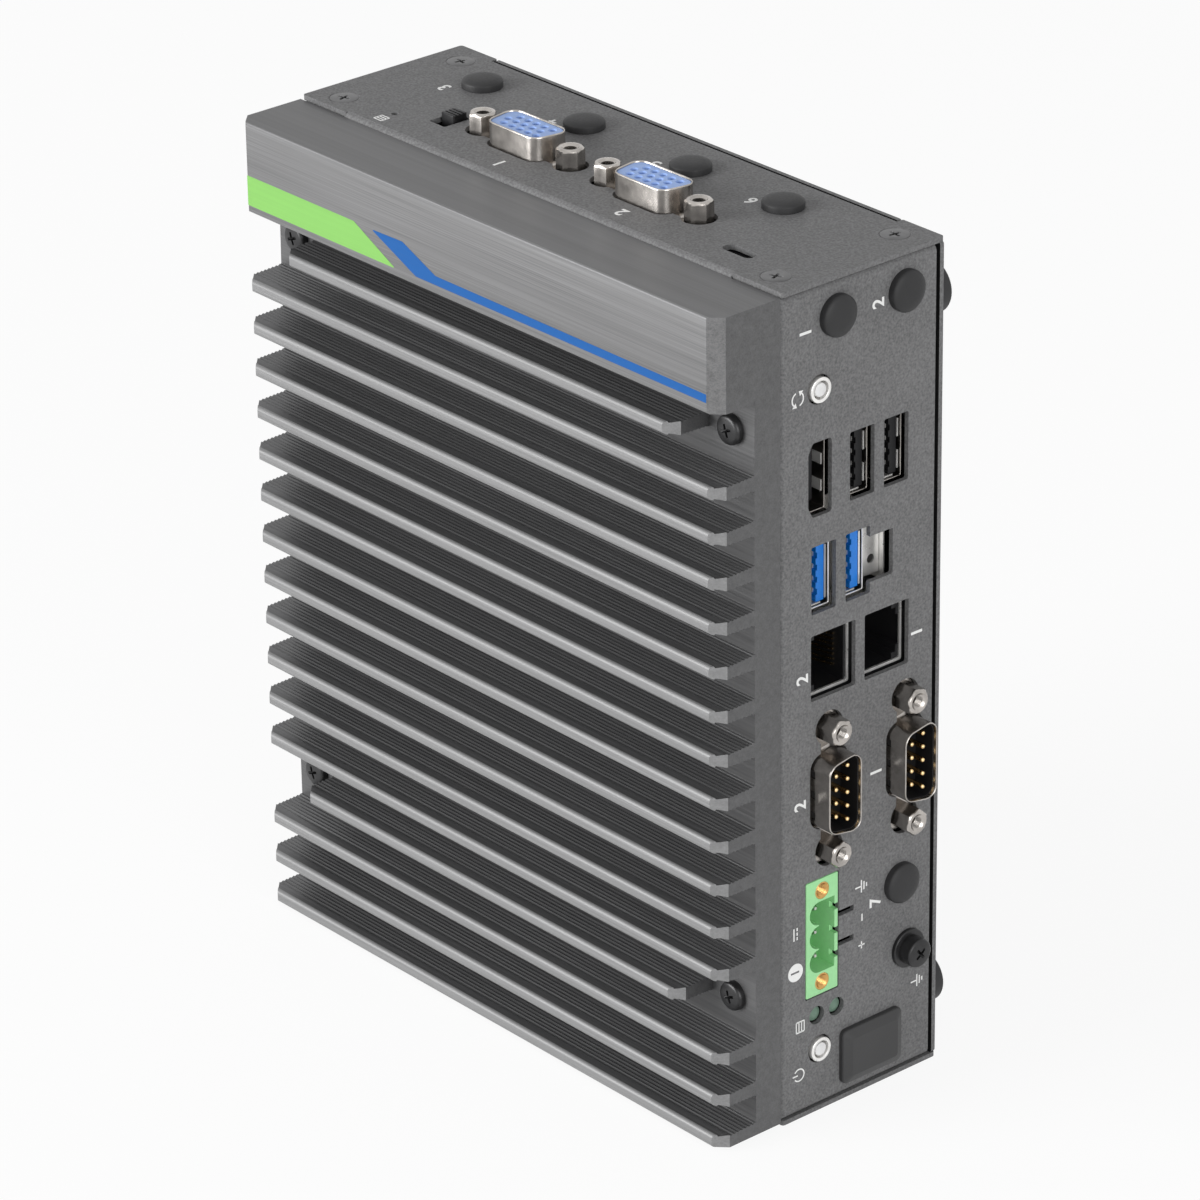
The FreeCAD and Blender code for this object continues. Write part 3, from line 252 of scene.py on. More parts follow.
@dataclass(frozen=True)
class Finish:
    """A finish of this object: a colour, its gloss and the grain that varies them.

    Attributes:
        slot: The record's material slot.
        colour: Linear colour.
        rough: Roughness.
        metal: How metallic it is.
        grain: The kind of texture.
        size: The grain's size in millimetres.
        depth: The grain's depth in millimetres.
        mottle: How far the colour varies, as a share.
        label: Tells it apart from another finish of the same slot.
        shine: Strength of the plain reflection.
        coat: Weight of a clear coat.
        clear: How much light it lets through.
    """

    slot: str
    colour: Size
    rough: float
    metal: float = 0.0
    grain: Grain = Grain.MOULDED
    size: float = 0.3
    depth: float = 0.01
    mottle: float = 0.1
    label: str = ""
    shine: float = 0.5
    coat: float = 0.0
    clear: float = 0.0

    def patterns(self, tree: Tree) -> tuple[Signal, Signal, Signal]:
        """The colour, roughness and height patterns, each around 0.5."""
        fine = (self.size,) * 3
        cloud = tree.noise((14.0, 14.0, 14.0), 3.0)
        if self.grain is Grain.POWDER:
            speck = tree.noise(fine, 3.0)
            return speck * 0.8 + cloud * 0.2, cloud, speck
        if self.grain is Grain.BRUSHED:
            streak = tree.noise((46.0, self.size, self.size), 4.0)
            long_streak = tree.noise((160.0, self.size * 4, self.size * 4), 2.0)
            return streak * 0.6 + long_streak * 0.4, streak, streak
        if self.grain is Grain.PLATED:
            smear = tree.noise((2.6, 2.6, 2.6), 3.0)
            return smear, smear, tree.noise(fine, 1.0)
        if self.grain is Grain.BOARD:
            tracks = tree.wave(1.3, "X") * tree.wave(1.3, "Z")
            return tracks, cloud, tracks
        speck = tree.noise(fine, 2.0)
        return speck * 0.4 + cloud * 0.6, speck, speck

    def material(self) -> bpy.types.Material:
        """The finish's material, made once, under a name that the frame's own materials don't have."""
        name = f"{self.slot}{self.label}_grained"
        if name in bpy.data.materials:
            return bpy.data.materials[name]
        made = bpy.data.materials.new(name)
        tree = Tree(made)
        colour, gloss, height = self.patterns(tree)
        dark = [value * (1 - self.mottle) for value in self.colour]
        light = [min(value * (1 + self.mottle), 1.0) for value in self.colour]
        spread = tree.node("ShaderNodeMapRange", {}, {0: colour, 1: 0.3, 2: 0.7, 3: 0.0, 4: 1.0})
        bump = tree.node("ShaderNodeBump", {}, {"Height": height, "Distance": self.depth * MM, "Strength": 1.0})
        inputs = {
            "Base Color": tree.blend(Signal(tree, spread.outputs[0]), dark, light),
            "Roughness": gloss * (0.5 * self.rough) + 0.75 * self.rough,
            "Normal": Signal(tree, bump.outputs[0]),
            "Metallic": self.metal,
            "Specular IOR Level": self.shine,
            "Coat Weight": self.coat,
            "Coat Roughness": 0.1,
        }
        if self.clear:
            inputs |= {"Transmission Weight": self.clear, "IOR": 1.49}
        for key, value in inputs.items():
            tree.feed(key, value)
        return made


EXTRUSION = Finish("heatsink_finish", (0.124, 0.124, 0.126), 0.42, 0.6, Grain.BRUSHED, mottle=0.2, shine=0.3)
# Lighter copies of the extrusion for the cap's front and the fin tips: real brushed faces, with a painted sheen
# for the light that falls on the fin side.
PAINTED_SHEEN_FRONT = Finish("heatsink_finish", (0.156, 0.156, 0.158), 0.42, 0.4, Grain.BRUSHED, 0.22, 0.012, 0.3,
                       "_front")
PAINTED_SHEEN_TIP = Finish("heatsink_finish", (0.21, 0.21, 0.212), 0.45, 0.3, Grain.BRUSHED, 0.3, 0.006, 0.16, "_tip")
GREEN_PRINT = Finish("heatsink_finish", (0.185, 0.42, 0.098), 0.5, 0.0, Grain.BRUSHED, 0.3, 0.003, 0.04, "_green",
                     0.2)
BLUE_PRINT = Finish("heatsink_finish", (0.004, 0.08, 0.28), 0.5, 0.0, Grain.BRUSHED, 0.3, 0.003, 0.05, "_blue",
                    0.2)
POWDER = Finish("case_paint", (0.158, 0.158, 0.16), 0.6, 0.0, Grain.POWDER, 0.45, 0.05, 0.36, shine=0.3)
# Near-black copy of the case paint for the cover's inner face: painted shade in the seam behind the side walls.
COVER_PAINTED_SHADE = Finish("case_paint", (0.012, 0.012, 0.012), 0.8, 0.0, Grain.POWDER, 0.45, 0.05, 0.2, "_painted_shade", 0.1)
WHITE_PRINT = Finish("case_paint", (0.88, 0.88, 0.87), 0.5, depth=0.004, mottle=0.04, label="_print")
BLACK_SCREW = Finish("screw_black", (0.028, 0.028, 0.029), 0.34, 0.5, Grain.PLATED, mottle=0.25)
FLAT_SCREW = Finish("screw_black", (0.11, 0.11, 0.112), 0.36, 0.6, Grain.PLATED, mottle=0.25, label="_flat")
STEEL = Finish("screw_steel", (0.55, 0.54, 0.52), 0.28, 1.0, Grain.PLATED, depth=0.005)
RUBBER = Finish("rubber_black", (0.024, 0.024, 0.025), 0.56, size=0.5, depth=0.02, mottle=0.2, shine=0.35)
COVER_RUBBER = Finish("rubber_black", (0.04, 0.04, 0.041), 0.5, size=0.5, depth=0.015, mottle=0.12, label="_cover",
                      shine=0.4)
NICKEL = Finish("nickel", (0.42, 0.395, 0.37), 0.24, 1.0, Grain.PLATED, 0.35, 0.006, 0.2)
# Dark copy of the nickel for the sockets' inner walls: painted shade inside the mouths.
NICKEL_PAINTED_SHADE = Finish("nickel", (0.10, 0.095, 0.088), 0.35, 1.0, Grain.PLATED, 0.35, 0.006, 0.2, "_dark")
BRIGHT_NICKEL = Finish("nickel", (0.86, 0.85, 0.83), 0.3, 0.7, Grain.PLATED, 0.35, 0.006, 0.1, "_bright")
CAP_METAL = Finish("nickel", (0.80, 0.80, 0.80), 0.45, 0.4, Grain.PLATED, 0.35, 0.006, 0.08, "_cap")
BLACK_PLASTIC = Finish("plastic_black", (0.009, 0.009, 0.01), 0.45, mottle=0.2, shine=0.3)
BLUE_PLASTIC = Finish("plastic_blue", (0.006, 0.19, 0.68), 0.38, depth=0.008)
VIOLET_PLASTIC = Finish("plastic_violet", (0.30, 0.45, 0.82), 0.42, depth=0.008)
GREEN_PLASTIC = Finish("plastic_green", (0.36, 0.76, 0.36), 0.42, size=0.5, mottle=0.08)
BRASS = Finish("brass", (0.62, 0.37, 0.13), 0.28, 1.0, Grain.PLATED, 0.3, 0.006, 0.12)
GOLD = Finish("gold_contact", (0.80, 0.58, 0.30), 0.22, 1.0, Grain.PLATED, 0.3, 0.004, 0.08)
BOARD = Finish("board_green", (0.02, 0.12, 0.055), 0.4, 0.0, Grain.BOARD, 0.5, 0.03, 0.3, coat=0.3)
CHIP = Finish("chip_black", (0.02, 0.02, 0.021), 0.55, mottle=0.15)
PAD = Finish("pad_grey", (0.42, 0.43, 0.45), 0.75, size=0.6, depth=0.03, mottle=0.08)
MILLED = Finish("heat_aluminium", (0.58, 0.58, 0.6), 0.32, 1.0, Grain.BRUSHED, mottle=0.08)
LENS = Finish("lamp_clear", (0.15, 0.24, 0.18), 0.5, size=0.4, depth=0.004, clear=0.1)


def grown(size: Point, amount: float) -> Point:
    """Width and height, each larger by the amount on both sides."""
    return size[0] + 2 * amount, size[1] + 2 * amount


def rounded(points: Outline, radius: float | Sequence[float], steps: int = 4) -> list[Point]:
    """An outline with its corners rounded by arcs.

    Args:
        points: The corners.
        radius: One radius, or one for each corner.
        steps: Flats of each arc.

    Returns:
        The points of the new outline.
    """
    radii = list(radius) if isinstance(radius, (list, tuple)) else [radius] * len(points)
    made = []
    for index, corner in enumerate(points):
        here = Vector(corner)
        before = (Vector(points[index - 1]) - here).normalized()
        after = (Vector(points[(index + 1) % len(points)]) - here).normalized()
        if radii[index] <= 0:
            made.append((here.x, here.y))
            continue
        half = before.angle(after) / 2
        centre = here + (before + after).normalized() * (radii[index] / math.sin(half))
        start = here + before * (radii[index] / math.tan(half)) - centre
        end = here + after * (radii[index] / math.tan(half)) - centre
        sweep = start.angle_signed(end)
        for step in range(steps + 1):
            turned = Matrix.Rotation(-sweep * step / steps, 2) @ start
            made.append((centre.x + turned.x, centre.y + turned.y))
    return made


def rectangle(size: Point, radius: float = 0.0, centre: Point = (0.0, 0.0), steps: int = 3) -> list[Point]:
    """A rectangle with rounded corners."""
    signs = ((-1, -1), (1, -1), (1, 1), (-1, 1))
    corners = [(centre[0] + x * size[0] / 2, centre[1] + y * size[1] / 2) for x, y in signs]
    return rounded(corners, radius, steps)


def circle(radius: float, centre: Point = (0.0, 0.0), steps: int = 40) -> list[Point]:
    """A circle."""
    angles = [2 * math.pi * index / steps for index in range(steps)]
    return [(centre[0] + radius * math.cos(a), centre[1] + radius * math.sin(a)) for a in angles]


def stack(levels: Levels, place: Matrix = IDENTITY, inner: int = 0) -> Mesh:
    """A closed solid: a face that is extruded from level to level, each with as many points.

    Args:
        levels: Outlines with their heights, from the first cap to the last.
        place: Where the solid goes.
        inner: How many of the last levels form the inside, which takes the second finish, a painted shade.

    Returns:
        The solid's mesh.
    """
    bm = bmesh.new()
    outline, height = levels[0]
    verts = [bm.verts.new((x, y, height)) for x, y in outline]
    face = bm.faces.new(verts)
    made = list(verts)
    for outline, height in levels[1:]:
        spots = {vert.co.to_tuple(6): index for index, vert in enumerate(verts)}
        geom = bmesh.ops.extrude_face_region(bm, geom=[face, *face.edges, *face.verts])["geom"]
        face = next(item for item in geom if isinstance(item, bmesh.types.BMFace))
        fresh = [item for item in geom if isinstance(item, bmesh.types.BMVert)]
        verts = sorted(fresh, key=lambda vert: spots[vert.co.to_tuple(6)])
        for vert, (x, y) in zip(verts, outline):
            vert.co = (x, y, height)
        made += verts
    # The inside faces take material index 1, which carries painted shade.
    painted_shade_verts = set(made[len(made) - inner * len(verts):])
    for face in bm.faces:
        if painted_shade_verts.issuperset(face.verts):
            face.material_index = 1
    bmesh.ops.recalc_face_normals(bm, faces=bm.faces)
    bmesh.ops.transform(bm, matrix=place, verts=bm.verts)
    return bm


def solid(outline: Outline, low: float, high: float, place: Matrix = IDENTITY) -> Mesh:
    """A straight prism between two heights."""
    return stack([(outline, low), (outline, high)], place)


def lathe(profile: Outline, place: Matrix = IDENTITY, steps: int = 40, closed: bool = False) -> Mesh:
    """A solid of revolution round the local z axis.

    Args:
        profile: Points of (radius, height), which starts and ends on the axis unless it is closed.
        place: Where the solid goes.
        steps: Flats of a full turn.
        closed: Whether the profile returns to its start, as a ring's does.

    Returns:
        The solid's mesh.
    """
    bm = bmesh.new()
    verts = [bm.verts.new((radius, 0, height)) for radius, height in profile]
    edges = [bm.edges.new(pair) for pair in zip(verts, verts[1:])]
    if closed:
        edges.append(bm.edges.new((verts[-1], verts[0])))
    bmesh.ops.spin(bm, geom=verts + edges, cent=(0, 0, 0), axis=(0, 0, 1), angle=2 * math.pi, steps=steps,
                   use_merge=True)
    bmesh.ops.remove_doubles(bm, verts=bm.verts, dist=1e-4)
    bmesh.ops.recalc_face_normals(bm, faces=bm.faces)
    bmesh.ops.transform(bm, matrix=place, verts=bm.verts)
    return bm


def rod(radius: float, low: float, high: float, place: Matrix, steps: int = 24) -> Mesh:
    """A round rod or the cutter of a round hole, between two heights."""
    return lathe([(0, low), (radius, low), (radius, high), (0, high)], place, steps)


def box_between(low: Sequence[float], high: Sequence[float]) -> Mesh:
    """A block between two corners in the part's frame."""
    bm = bmesh.new()
    size, middle = Vector(high) - Vector(low), (Vector(high) + Vector(low)) / 2
    bmesh.ops.create_cube(bm, size=1.0, matrix=Matrix.Translation(middle) @ Matrix.Diagonal((*size, 1.0)))
    return bm


def domed(radius: float, height: float, crown: float, edge: float) -> list[Point]:
    """Profile of a button-like head: an upright wall, a rounded edge and a crowned top."""
    shoulder = height - crown - edge
    points = [(0.0, 0.0), (radius, 0.0), (radius, shoulder)]
    for step in range(1, 5):
        angle = math.pi / 2 * step / 4
        points.append((radius - edge * (1 - math.cos(angle)), shoulder + edge * math.sin(angle)))
    points += [((radius - edge) * share, height - crown * share * share) for share in (0.75, 0.5, 0.25)]
    return points + [(0.0, height)]


def absorb(bm: Mesh, other: Mesh) -> None:
    """Adds everything of another mesh, which is used up."""
    mesh = bpy.data.meshes.new("joining")
    other.to_mesh(mesh)
    other.free()
    bm.from_mesh(mesh)
    bpy.data.meshes.remove(mesh)


def merged(meshes: Sequence[Mesh]) -> Mesh:
    """One mesh with everything of several, which are used up."""
    for other in meshes[1:]:
        absorb(meshes[0], other)
    return meshes[0]


def temporary(bm: Mesh) -> bpy.types.Object:
    """An object that holds a mesh for a moment."""
    mesh = bpy.data.meshes.new("temporary")
    bm.to_mesh(mesh)
    bm.free()
    holder = bpy.data.objects.new("temporary", mesh)
    bpy.context.scene.collection.objects.link(holder)
    return holder


def evaluated(holder: bpy.types.Object) -> Mesh:
    """The mesh of an object with its modifiers and curves worked out."""
    result = bpy.data.meshes.new_from_object(holder.evaluated_get(bpy.context.evaluated_depsgraph_get()))
    bm = bmesh.new()
    bm.from_mesh(result)
    bpy.data.meshes.remove(result)
    return bm


def combined(bm: Mesh, others: Iterable[Mesh], operation: str) -> Mesh:
    """Joins solids to a mesh, or takes them away from it, one after the other.

    Args:
        bm: The mesh to change, which is used up.
        others: Closed meshes, used up as well.
        operation: Blender's name of the boolean operation.

    Returns:
        The new mesh.
    """
    holders = [temporary(mesh) for mesh in (bm, *others)]
    body, *tools = holders
    for tool in tools:
        modifier = body.modifiers.new("combined", "BOOLEAN")
        modifier.operation, modifier.solver, modifier.object = operation, "EXACT", tool
    left = evaluated(body)
    for mesh in [holder.data for holder in holders]:
        bpy.data.meshes.remove(mesh)
    return left


def cut(bm: Mesh, cutters: Iterable[Mesh]) -> Mesh:
    """Cuts closed meshes out of a mesh and clears the needless edges; all of them are used up."""
    left = combined(bm, cutters, "DIFFERENCE")
    bmesh.ops.dissolve_limit(left, angle_limit=math.radians(0.5), verts=left.verts, edges=left.edges)
    return left


def soften(bm: Mesh, width: float, chosen: EdgeTest, segments: int = 2) -> None:
    """Rounds the sharp edges that a test picks."""
    sharp = math.radians(40)
    edges = [edge for edge in bm.edges
             if len(edge.link_faces) == 2 and edge.calc_face_angle(0.0) > sharp and chosen(edge)]
    bevel(bm, edges, width, segments)


def bevel(bm: Mesh, edges: Sequence[bmesh.types.BMEdge], width: float, segments: int) -> None:
    """Rounds edges."""
    bmesh.ops.bevel(bm, geom=edges, offset=width, segments=segments, profile=0.5, affect="EDGES", material=-1,
                    clamp_overlap=True)


def on_plane(axis: int, level: float) -> EdgeTest:
    """A test for edges that lie in a plane across one axis."""
    return lambda edge: all(abs(vert.co[axis] - level) < 1e-3 for vert in edge.verts)


def every_edge(_edge: bmesh.types.BMEdge) -> bool:
    """Picks every edge."""
    return True


def coplanar_groups(bm: Mesh) -> dict[bmesh.types.BMFace, int]:
    """Numbers the faces so that neighbours in one plane share a number."""
    groups = {}
    for seed in bm.faces:
        if seed in groups:
            continue
        number = groups[seed] = len(groups)
        waiting = [seed]
        while waiting:
            for edge in waiting.pop().edges:
                if len(edge.link_faces) != 2 or edge.calc_face_angle(0.0) > math.radians(0.6):
                    continue
                for other in edge.link_faces:
                    if other not in groups:
                        groups[other] = number
                        waiting.append(other)
    return groups


def flat_faces(bm: Mesh, angle: float) -> list[bool]:
    """Finds the large flat areas that keep one shade beside small rounded edges.

    Args:
        bm: A mesh.
        angle: Edges below this angle count as rounded.

    Returns:
        For each face, whether it belongs to such an area.
    """
    bm.normal_update()
    groups = coplanar_groups(bm)
    areas, near = {}, {}
    for face, number in groups.items():
        areas[number] = areas.get(number, 0.0) + face.calc_area()
    for edge in bm.edges:
        if len(edge.link_faces) == 2 and edge.calc_face_angle(0.0) < angle:
            first, second = (groups[face] for face in edge.link_faces)
            if first != second:
                near.setdefault(first, set()).add(second)
                near.setdefault(second, set()).add(first)
    flat = {number for number, others in near.items()
            if areas[number] > 6 * sum(areas[other] for other in others) / len(others)}
    return [groups[face] in flat for face in bm.faces]


@dataclass(frozen=True)
class Recipe:
    """How a piece is finished.

    Attributes:
        finish: Its finish.
        nodes: The CAD nodes that it stands for.
        body: The CAD body that it rides on.
        angle: Edges sharper than this, in degrees, stay sharp.
        others: Finishes of the faces with material index 1 and up.
    """

    finish: Finish
    nodes: tuple[str, ...] = ()
    body: str = "case"
    angle: float = 35.0
    others: tuple[Finish, ...] = ()

    def make(self, name: str, bm: Mesh) -> None:
        """Turns a mesh in millimetres into a dressed piece of the scene; the mesh is used up."""
        angle = math.radians(self.angle)
        smooth = [not flat for flat in flat_faces(bm, angle)]
        bmesh.ops.transform(bm, matrix=Matrix.Scale(MM, 4), verts=bm.verts)
        mesh = bpy.data.meshes.new(name)
        bm.to_mesh(mesh)
        bm.free()
        for finish in (self.finish, *self.others):
            mesh.materials.append(finish.material())
        mesh.polygons.foreach_set("use_smooth", smooth)
        mesh.set_sharp_from_angle(angle=angle)
        piece = bpy.data.objects.new(name, mesh)
        bpy.context.scene.collection.objects.link(piece)
        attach(piece, self.body)
        if self.nodes:
            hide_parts(*self.nodes)
        LOG.info("%s: %d faces, %s", name, len(mesh.polygons), self.finish.slot)


def numbered(pattern: str, count: int) -> tuple[str, ...]:
    """Names that count from 1."""
    return tuple(pattern.format(index) for index in range(1, count + 1))


RECIPES = {
    # The cap's front and the fin tips take the lighter finishes, a painted sheen.
    "heatsink_extrusion": Recipe(EXTRUSION, ("heatsink",), others=(PAINTED_SHEEN_FRONT, PAINTED_SHEEN_TIP)),
    "stripe_green": Recipe(GREEN_PRINT),
    "stripe_blue": Recipe(BLUE_PRINT),
    "heatsink_pan_screws": Recipe(BLACK_SCREW, ("heatsink_screws",)),
    "folded_frame": Recipe(POWDER, ("chassis_frame",), angle=12.0),
    "top_sheet": Recipe(POWDER, ("top_panel",), angle=12.0),
    "bottom_sheet": Recipe(POWDER, ("bottom_panel",), angle=12.0),
    # The cover's inner face takes painted shade.
    "cover_sheet": Recipe(POWDER, ("back_cover",), angle=12.0, others=(COVER_PAINTED_SHADE,)),
    "flat_screws": Recipe(FLAT_SCREW, ("panel_screws",)),
    "feet": Recipe(RUBBER, ("rubber_feet",)),
    "antenna_caps": Recipe(RUBBER, numbered("antenna_plug_{}", 7)),
    "port_pad": Recipe(COVER_RUBBER, ("port_cover",), angle=12.0),
    "earth_screw": Recipe(BLACK_SCREW, ("ground_screw",)),
    "earth_washer": Recipe(BLACK_SCREW, ("ground_washer",)),
    "port_shells": Recipe(NICKEL, numbered("serial_port_{}_shell", 2) + numbered("top_port_{}_shell", 2)),
    # Their black walls up the inside of the shells are painted shade; the floor is the real insulator.
    "pin_port_bodies": Recipe(BLACK_PLASTIC, numbered("serial_port_{}_insert", 2)),
    "hole_port_bodies": Recipe(VIOLET_PLASTIC, numbered("top_port_{}_insert", 2)),
    "port_pins": Recipe(GOLD, ("serial_pins",)),
    "hex_posts": Recipe(NICKEL, ("jackscrews",)),
    # The inner walls of these shells take painted shade.
    "black_pair_shell": Recipe(NICKEL, ("black_data_shell",), others=(NICKEL_PAINTED_SHADE,)),
    "black_pair_tongues": Recipe(BLACK_PLASTIC, ("black_data_tongues",)),
    "blue_pair_shell": Recipe(BRIGHT_NICKEL, ("blue_data_shell",), others=(NICKEL_PAINTED_SHADE,)),
    "blue_pair_tongues": Recipe(BLUE_PLASTIC, ("blue_data_tongues",)),
    "socket_springs": Recipe(BRIGHT_NICKEL),
    "video_rim": Recipe(NICKEL, ("video_shell",), others=(NICKEL_PAINTED_SHADE,)),
    "video_core": Recipe(BLACK_PLASTIC, ("video_body",)),
    "jack_shield": Recipe(BRIGHT_NICKEL, ("network_shield",)),
    "jack_body": Recipe(BLACK_PLASTIC, ("network_body",)),
    "jack_wires": Recipe(GOLD, ("network_contacts",)),
    "header_housing": Recipe(GREEN_PLASTIC, ("power_header",)),
    "header_posts": Recipe(STEEL, ("header_pins",)),
    "header_bushes": Recipe(BRASS, ("header_inserts",)),
    "power_bushing": Recipe(BRIGHT_NICKEL, ("power_button_body",)),
    "reset_bushing": Recipe(BRIGHT_NICKEL, ("reset_button_body",)),
    "power_push": Recipe(CAP_METAL, ("power_button_cap",), "power_button"),
    "reset_push": Recipe(CAP_METAL, ("reset_button_cap",), "reset_button"),
    "lamp_lenses": Recipe(LENS, ("status_lamps",)),
    "switch_housing": Recipe(BLACK_PLASTIC, ("boot_switch_body",)),
    "switch_lever": Recipe(BLACK_PLASTIC, ("boot_switch_knob",), "boot_switch"),
    "slot_socket": Recipe(BLACK_PLASTIC, ("flash_socket",)),
    "panel_marks": Recipe(WHITE_PRINT),
}
INNER_FINISHES = {
    "mainboard": BOARD, "memory_module": BOARD, "drive_module": BOARD, "processor": CHIP, "thermal_pad": PAD,
    "heat_block": MILLED, "board_standoffs": STEEL, "board_screws": STEEL, "coin_cell": STEEL,
    "coin_cell_holder": BLACK_PLASTIC, "memory_socket": BLACK_PLASTIC, "drive_socket": BLACK_PLASTIC,
}


class Bench:
    """Collects the meshes of each piece, so that equal parts of several sub-assemblies end up in one."""

    def __init__(self) -> None:
        """Starts empty."""
        self.meshes: dict[str, Mesh] = {}

    def add(self, name: str, *meshes: Mesh) -> None:
        """Adds meshes to a piece; they are used up."""
        for bm in meshes:
            if name in self.meshes:
                absorb(self.meshes[name], bm)
            else:
                self.meshes[name] = bm

    def prism(self, name: str, outline: Outline, low: float, high: float, place: Matrix) -> None:
        """Adds a prism."""
        self.add(name, solid(outline, low, high, place))

    def finish(self) -> None:
        """Makes the pieces in the recipes' order, and dresses the ones inside the case, which stay as packed."""
        for name, recipe in RECIPES.items():
            recipe.make(name, self.meshes[name])
        for name, finish in INNER_FINISHES.items():
            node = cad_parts[name]
            node.data.materials.clear()
            node.data.materials.append(finish.material())


def recessed(head: Mesh, levels: Levels, place: Matrix) -> Mesh:
    """Cuts a cross recess with arms of the given levels into a screw's head."""
    return cut(head, [stack(levels, place @ turned_about(angle)) for angle in (0.0, 90.0)])


def pan_screw(height: float, edge: float, place: Matrix, turn: float) -> Mesh:
    """A pan head with a cross recess.

    Args:
        height: Height of the head.
        edge: Rounding of its edge.
        place: Where it sits.
        turn: How far the recess is turned, in degrees.

    Returns:
        The head's mesh.
    """
    spin = place @ turned_about(turn)
    arm = [(rectangle((1.4, 0.4), 0.12), height - 1.15), (rectangle((3.1, 0.62), 0.2), height + 0.3)]
    return recessed(lathe(domed(2.9, height, 0.18, edge), spin, 48), arm, spin)


@dataclass
class Heatsink:
    """Extrusion with a cap, serrated fins and chamfered ends.

    Attributes:
        base_y: Plane of the channels' floors.
        inset: How far its ends stay inside the case's height.
        cap: Height of the solid cap.
        first_fin: Height of the upper fin's middle plane.
        pitch: Distance between fins.
        count: Number of fins.
        tip: Thickness at a fin's tip.
        root: Thickness at its root.
        ridges: Ridges on each flank.
        ridge_depth: Depth between ridges.
        ridge: One ridge's points: the share of its width, and how far it is sunk as a share of the depth.
        bead: Radius of the rounded bead at the tip.
        groove: Width of the groove under that bead.
        groove_depth: Depth of that groove.
        chamfer: How far the ends are cut back.
        short: Fins that end before the screws.
        short_end: Half the length of those fins.
        screw_x: Distance of the screws from the middle.
    """

    base_y: float = -18.5
    inset: float = 0.8
    cap: float = 18.3
    first_fin: float = 142.45
    pitch: float = 8.775
    count: int = 17
    tip: float = 2.5
    root: float = 3.1
    ridges: int = 7
    ridge_depth: float = 0.2
    ridge: Outline = ((0.14, 0.75), (0.32, 1.0), (0.5, 0.85), (0.72, 0.2), (0.88, 0.0))
    bead: float = 0.75
    groove: float = 1.45
    groove_depth: float = 0.26
    chamfer: float = 2.4
    short: tuple[int, ...] = (0, 13)
    short_end: float = 55.3
    screw_x: float = 61.5

    def flank(self, level: float, side: int, sunk: float = 0.0) -> list[Point]:
        """One side of a fin from root to tip.

        Args:
            level: Height of the fin's middle plane.
            side: 1 for the upper side.
            sunk: How far the root reaches into the base.

        Returns:
            Points of (y, z) in the extrusion's section.
        """
        length = self.base_y - CASE.tip_y

        def spot(reach: float, sink: float = 0.0) -> Point:
            """A point of the flank at a distance from the base."""
            half = (self.root + (self.tip - self.root) * max(reach, 0.0) / length) / 2 - sink
            return self.base_y - reach, level + side * half

        start, stop = 0.5, length - self.bead - self.groove
        step = (stop - start) / self.ridges
        points = [spot(-sunk), spot(start)]
        points += [spot(start + (index + share) * step, sink * self.ridge_depth)
                   for index in range(self.ridges) for share, sink in self.ridge]
        points += [spot(stop), spot(stop + 0.8, 0.75 * self.groove_depth),
                   spot(stop + self.groove - 0.1, self.groove_depth)]
        for index in range(6):
            angle = math.pi / 2 * index / 5
            points.append(spot(length - self.bead * (1 - math.sin(angle)), self.bead * (1 - math.cos(angle))))
        return points

    def level(self, index: int) -> float:
        """Height of a fin."""
        return self.first_fin - index * self.pitch

    def section(self) -> list[Point]:
        """Outline of the base, the cap and the long fins."""
        low, high = self.inset, CASE.height - self.inset
        cap = high - self.cap
        points = [(CASE.seat_y, low)]
        points += rounded([(CASE.seat_y, high), (CASE.tip_y, high), (CASE.tip_y, cap), (self.base_y, cap)],
                          [0.0, 0.4, 0.5, 0.8])
        for index in range(self.count):
            if index in self.short:
                continue
            points += self.flank(self.level(index), 1)
            if index < self.count - 1:
                points += reversed(self.flank(self.level(index), -1))
        foot = [(CASE.tip_y, self.first_fin), (CASE.tip_y, low), (CASE.seat_y, low)]
        return points + rounded(foot, [0.0, 0.4, 0.0])[1:-1]

    def bar(self, outline: Outline, half: float) -> Mesh:
        """Extrudes a section, cuts both ends back near the tips and marks the faces that then take a painted
        sheen.

        Args:
            outline: The section.
            half: Half the length.

        Returns:
            The mesh: the cap's front has material index 1, the tips and chamfers have 2.
        """
        bm = solid(outline, -half, half, SECTION)
        edge = CASE.tip_y + self.chamfer
        everything = bm.verts[:] + bm.edges[:] + bm.faces[:]
        bmesh.ops.bisect_plane(bm, geom=everything, plane_co=(0, edge, 0), plane_no=(0, 1, 0))
        for vert in bm.verts:
            if vert.co.y < edge:
                vert.co.x = math.copysign(half - (edge - vert.co.y), vert.co.x)
        bm.normal_update()
        for face in bm.faces:
            # Tips, chamfers and the cap's front facing the fin side get a lighter colour: painted sheen.
            depth = max(vert.co.y for vert in face.verts) - CASE.tip_y - 0.01
            if depth < self.bead or (depth < self.chamfer and face.normal.y < -0.6):
                on_cap = face.calc_center_median().z > CASE.height - self.inset - self.cap
                face.material_index = 1 if on_cap else 2
        return bm

    def build(self, bench: Bench) -> None:
        """Makes the extrusion and its four screws."""
        bench.add("heatsink_extrusion", self.bar(self.section(), CASE.half_width))
        for index in self.short:
            level = self.level(index)
            outline = self.flank(level, 1, 0.3) + self.flank(level, -1, 0.3)[::-1]
            bench.add("heatsink_extrusion", self.bar(outline, self.short_end))
            for side in (-1, 1):
                place = front_place(side * self.screw_x, level, self.base_y)
                bench.add("heatsink_pan_screws", pan_screw(1.7, 0.75, place, 20.0))


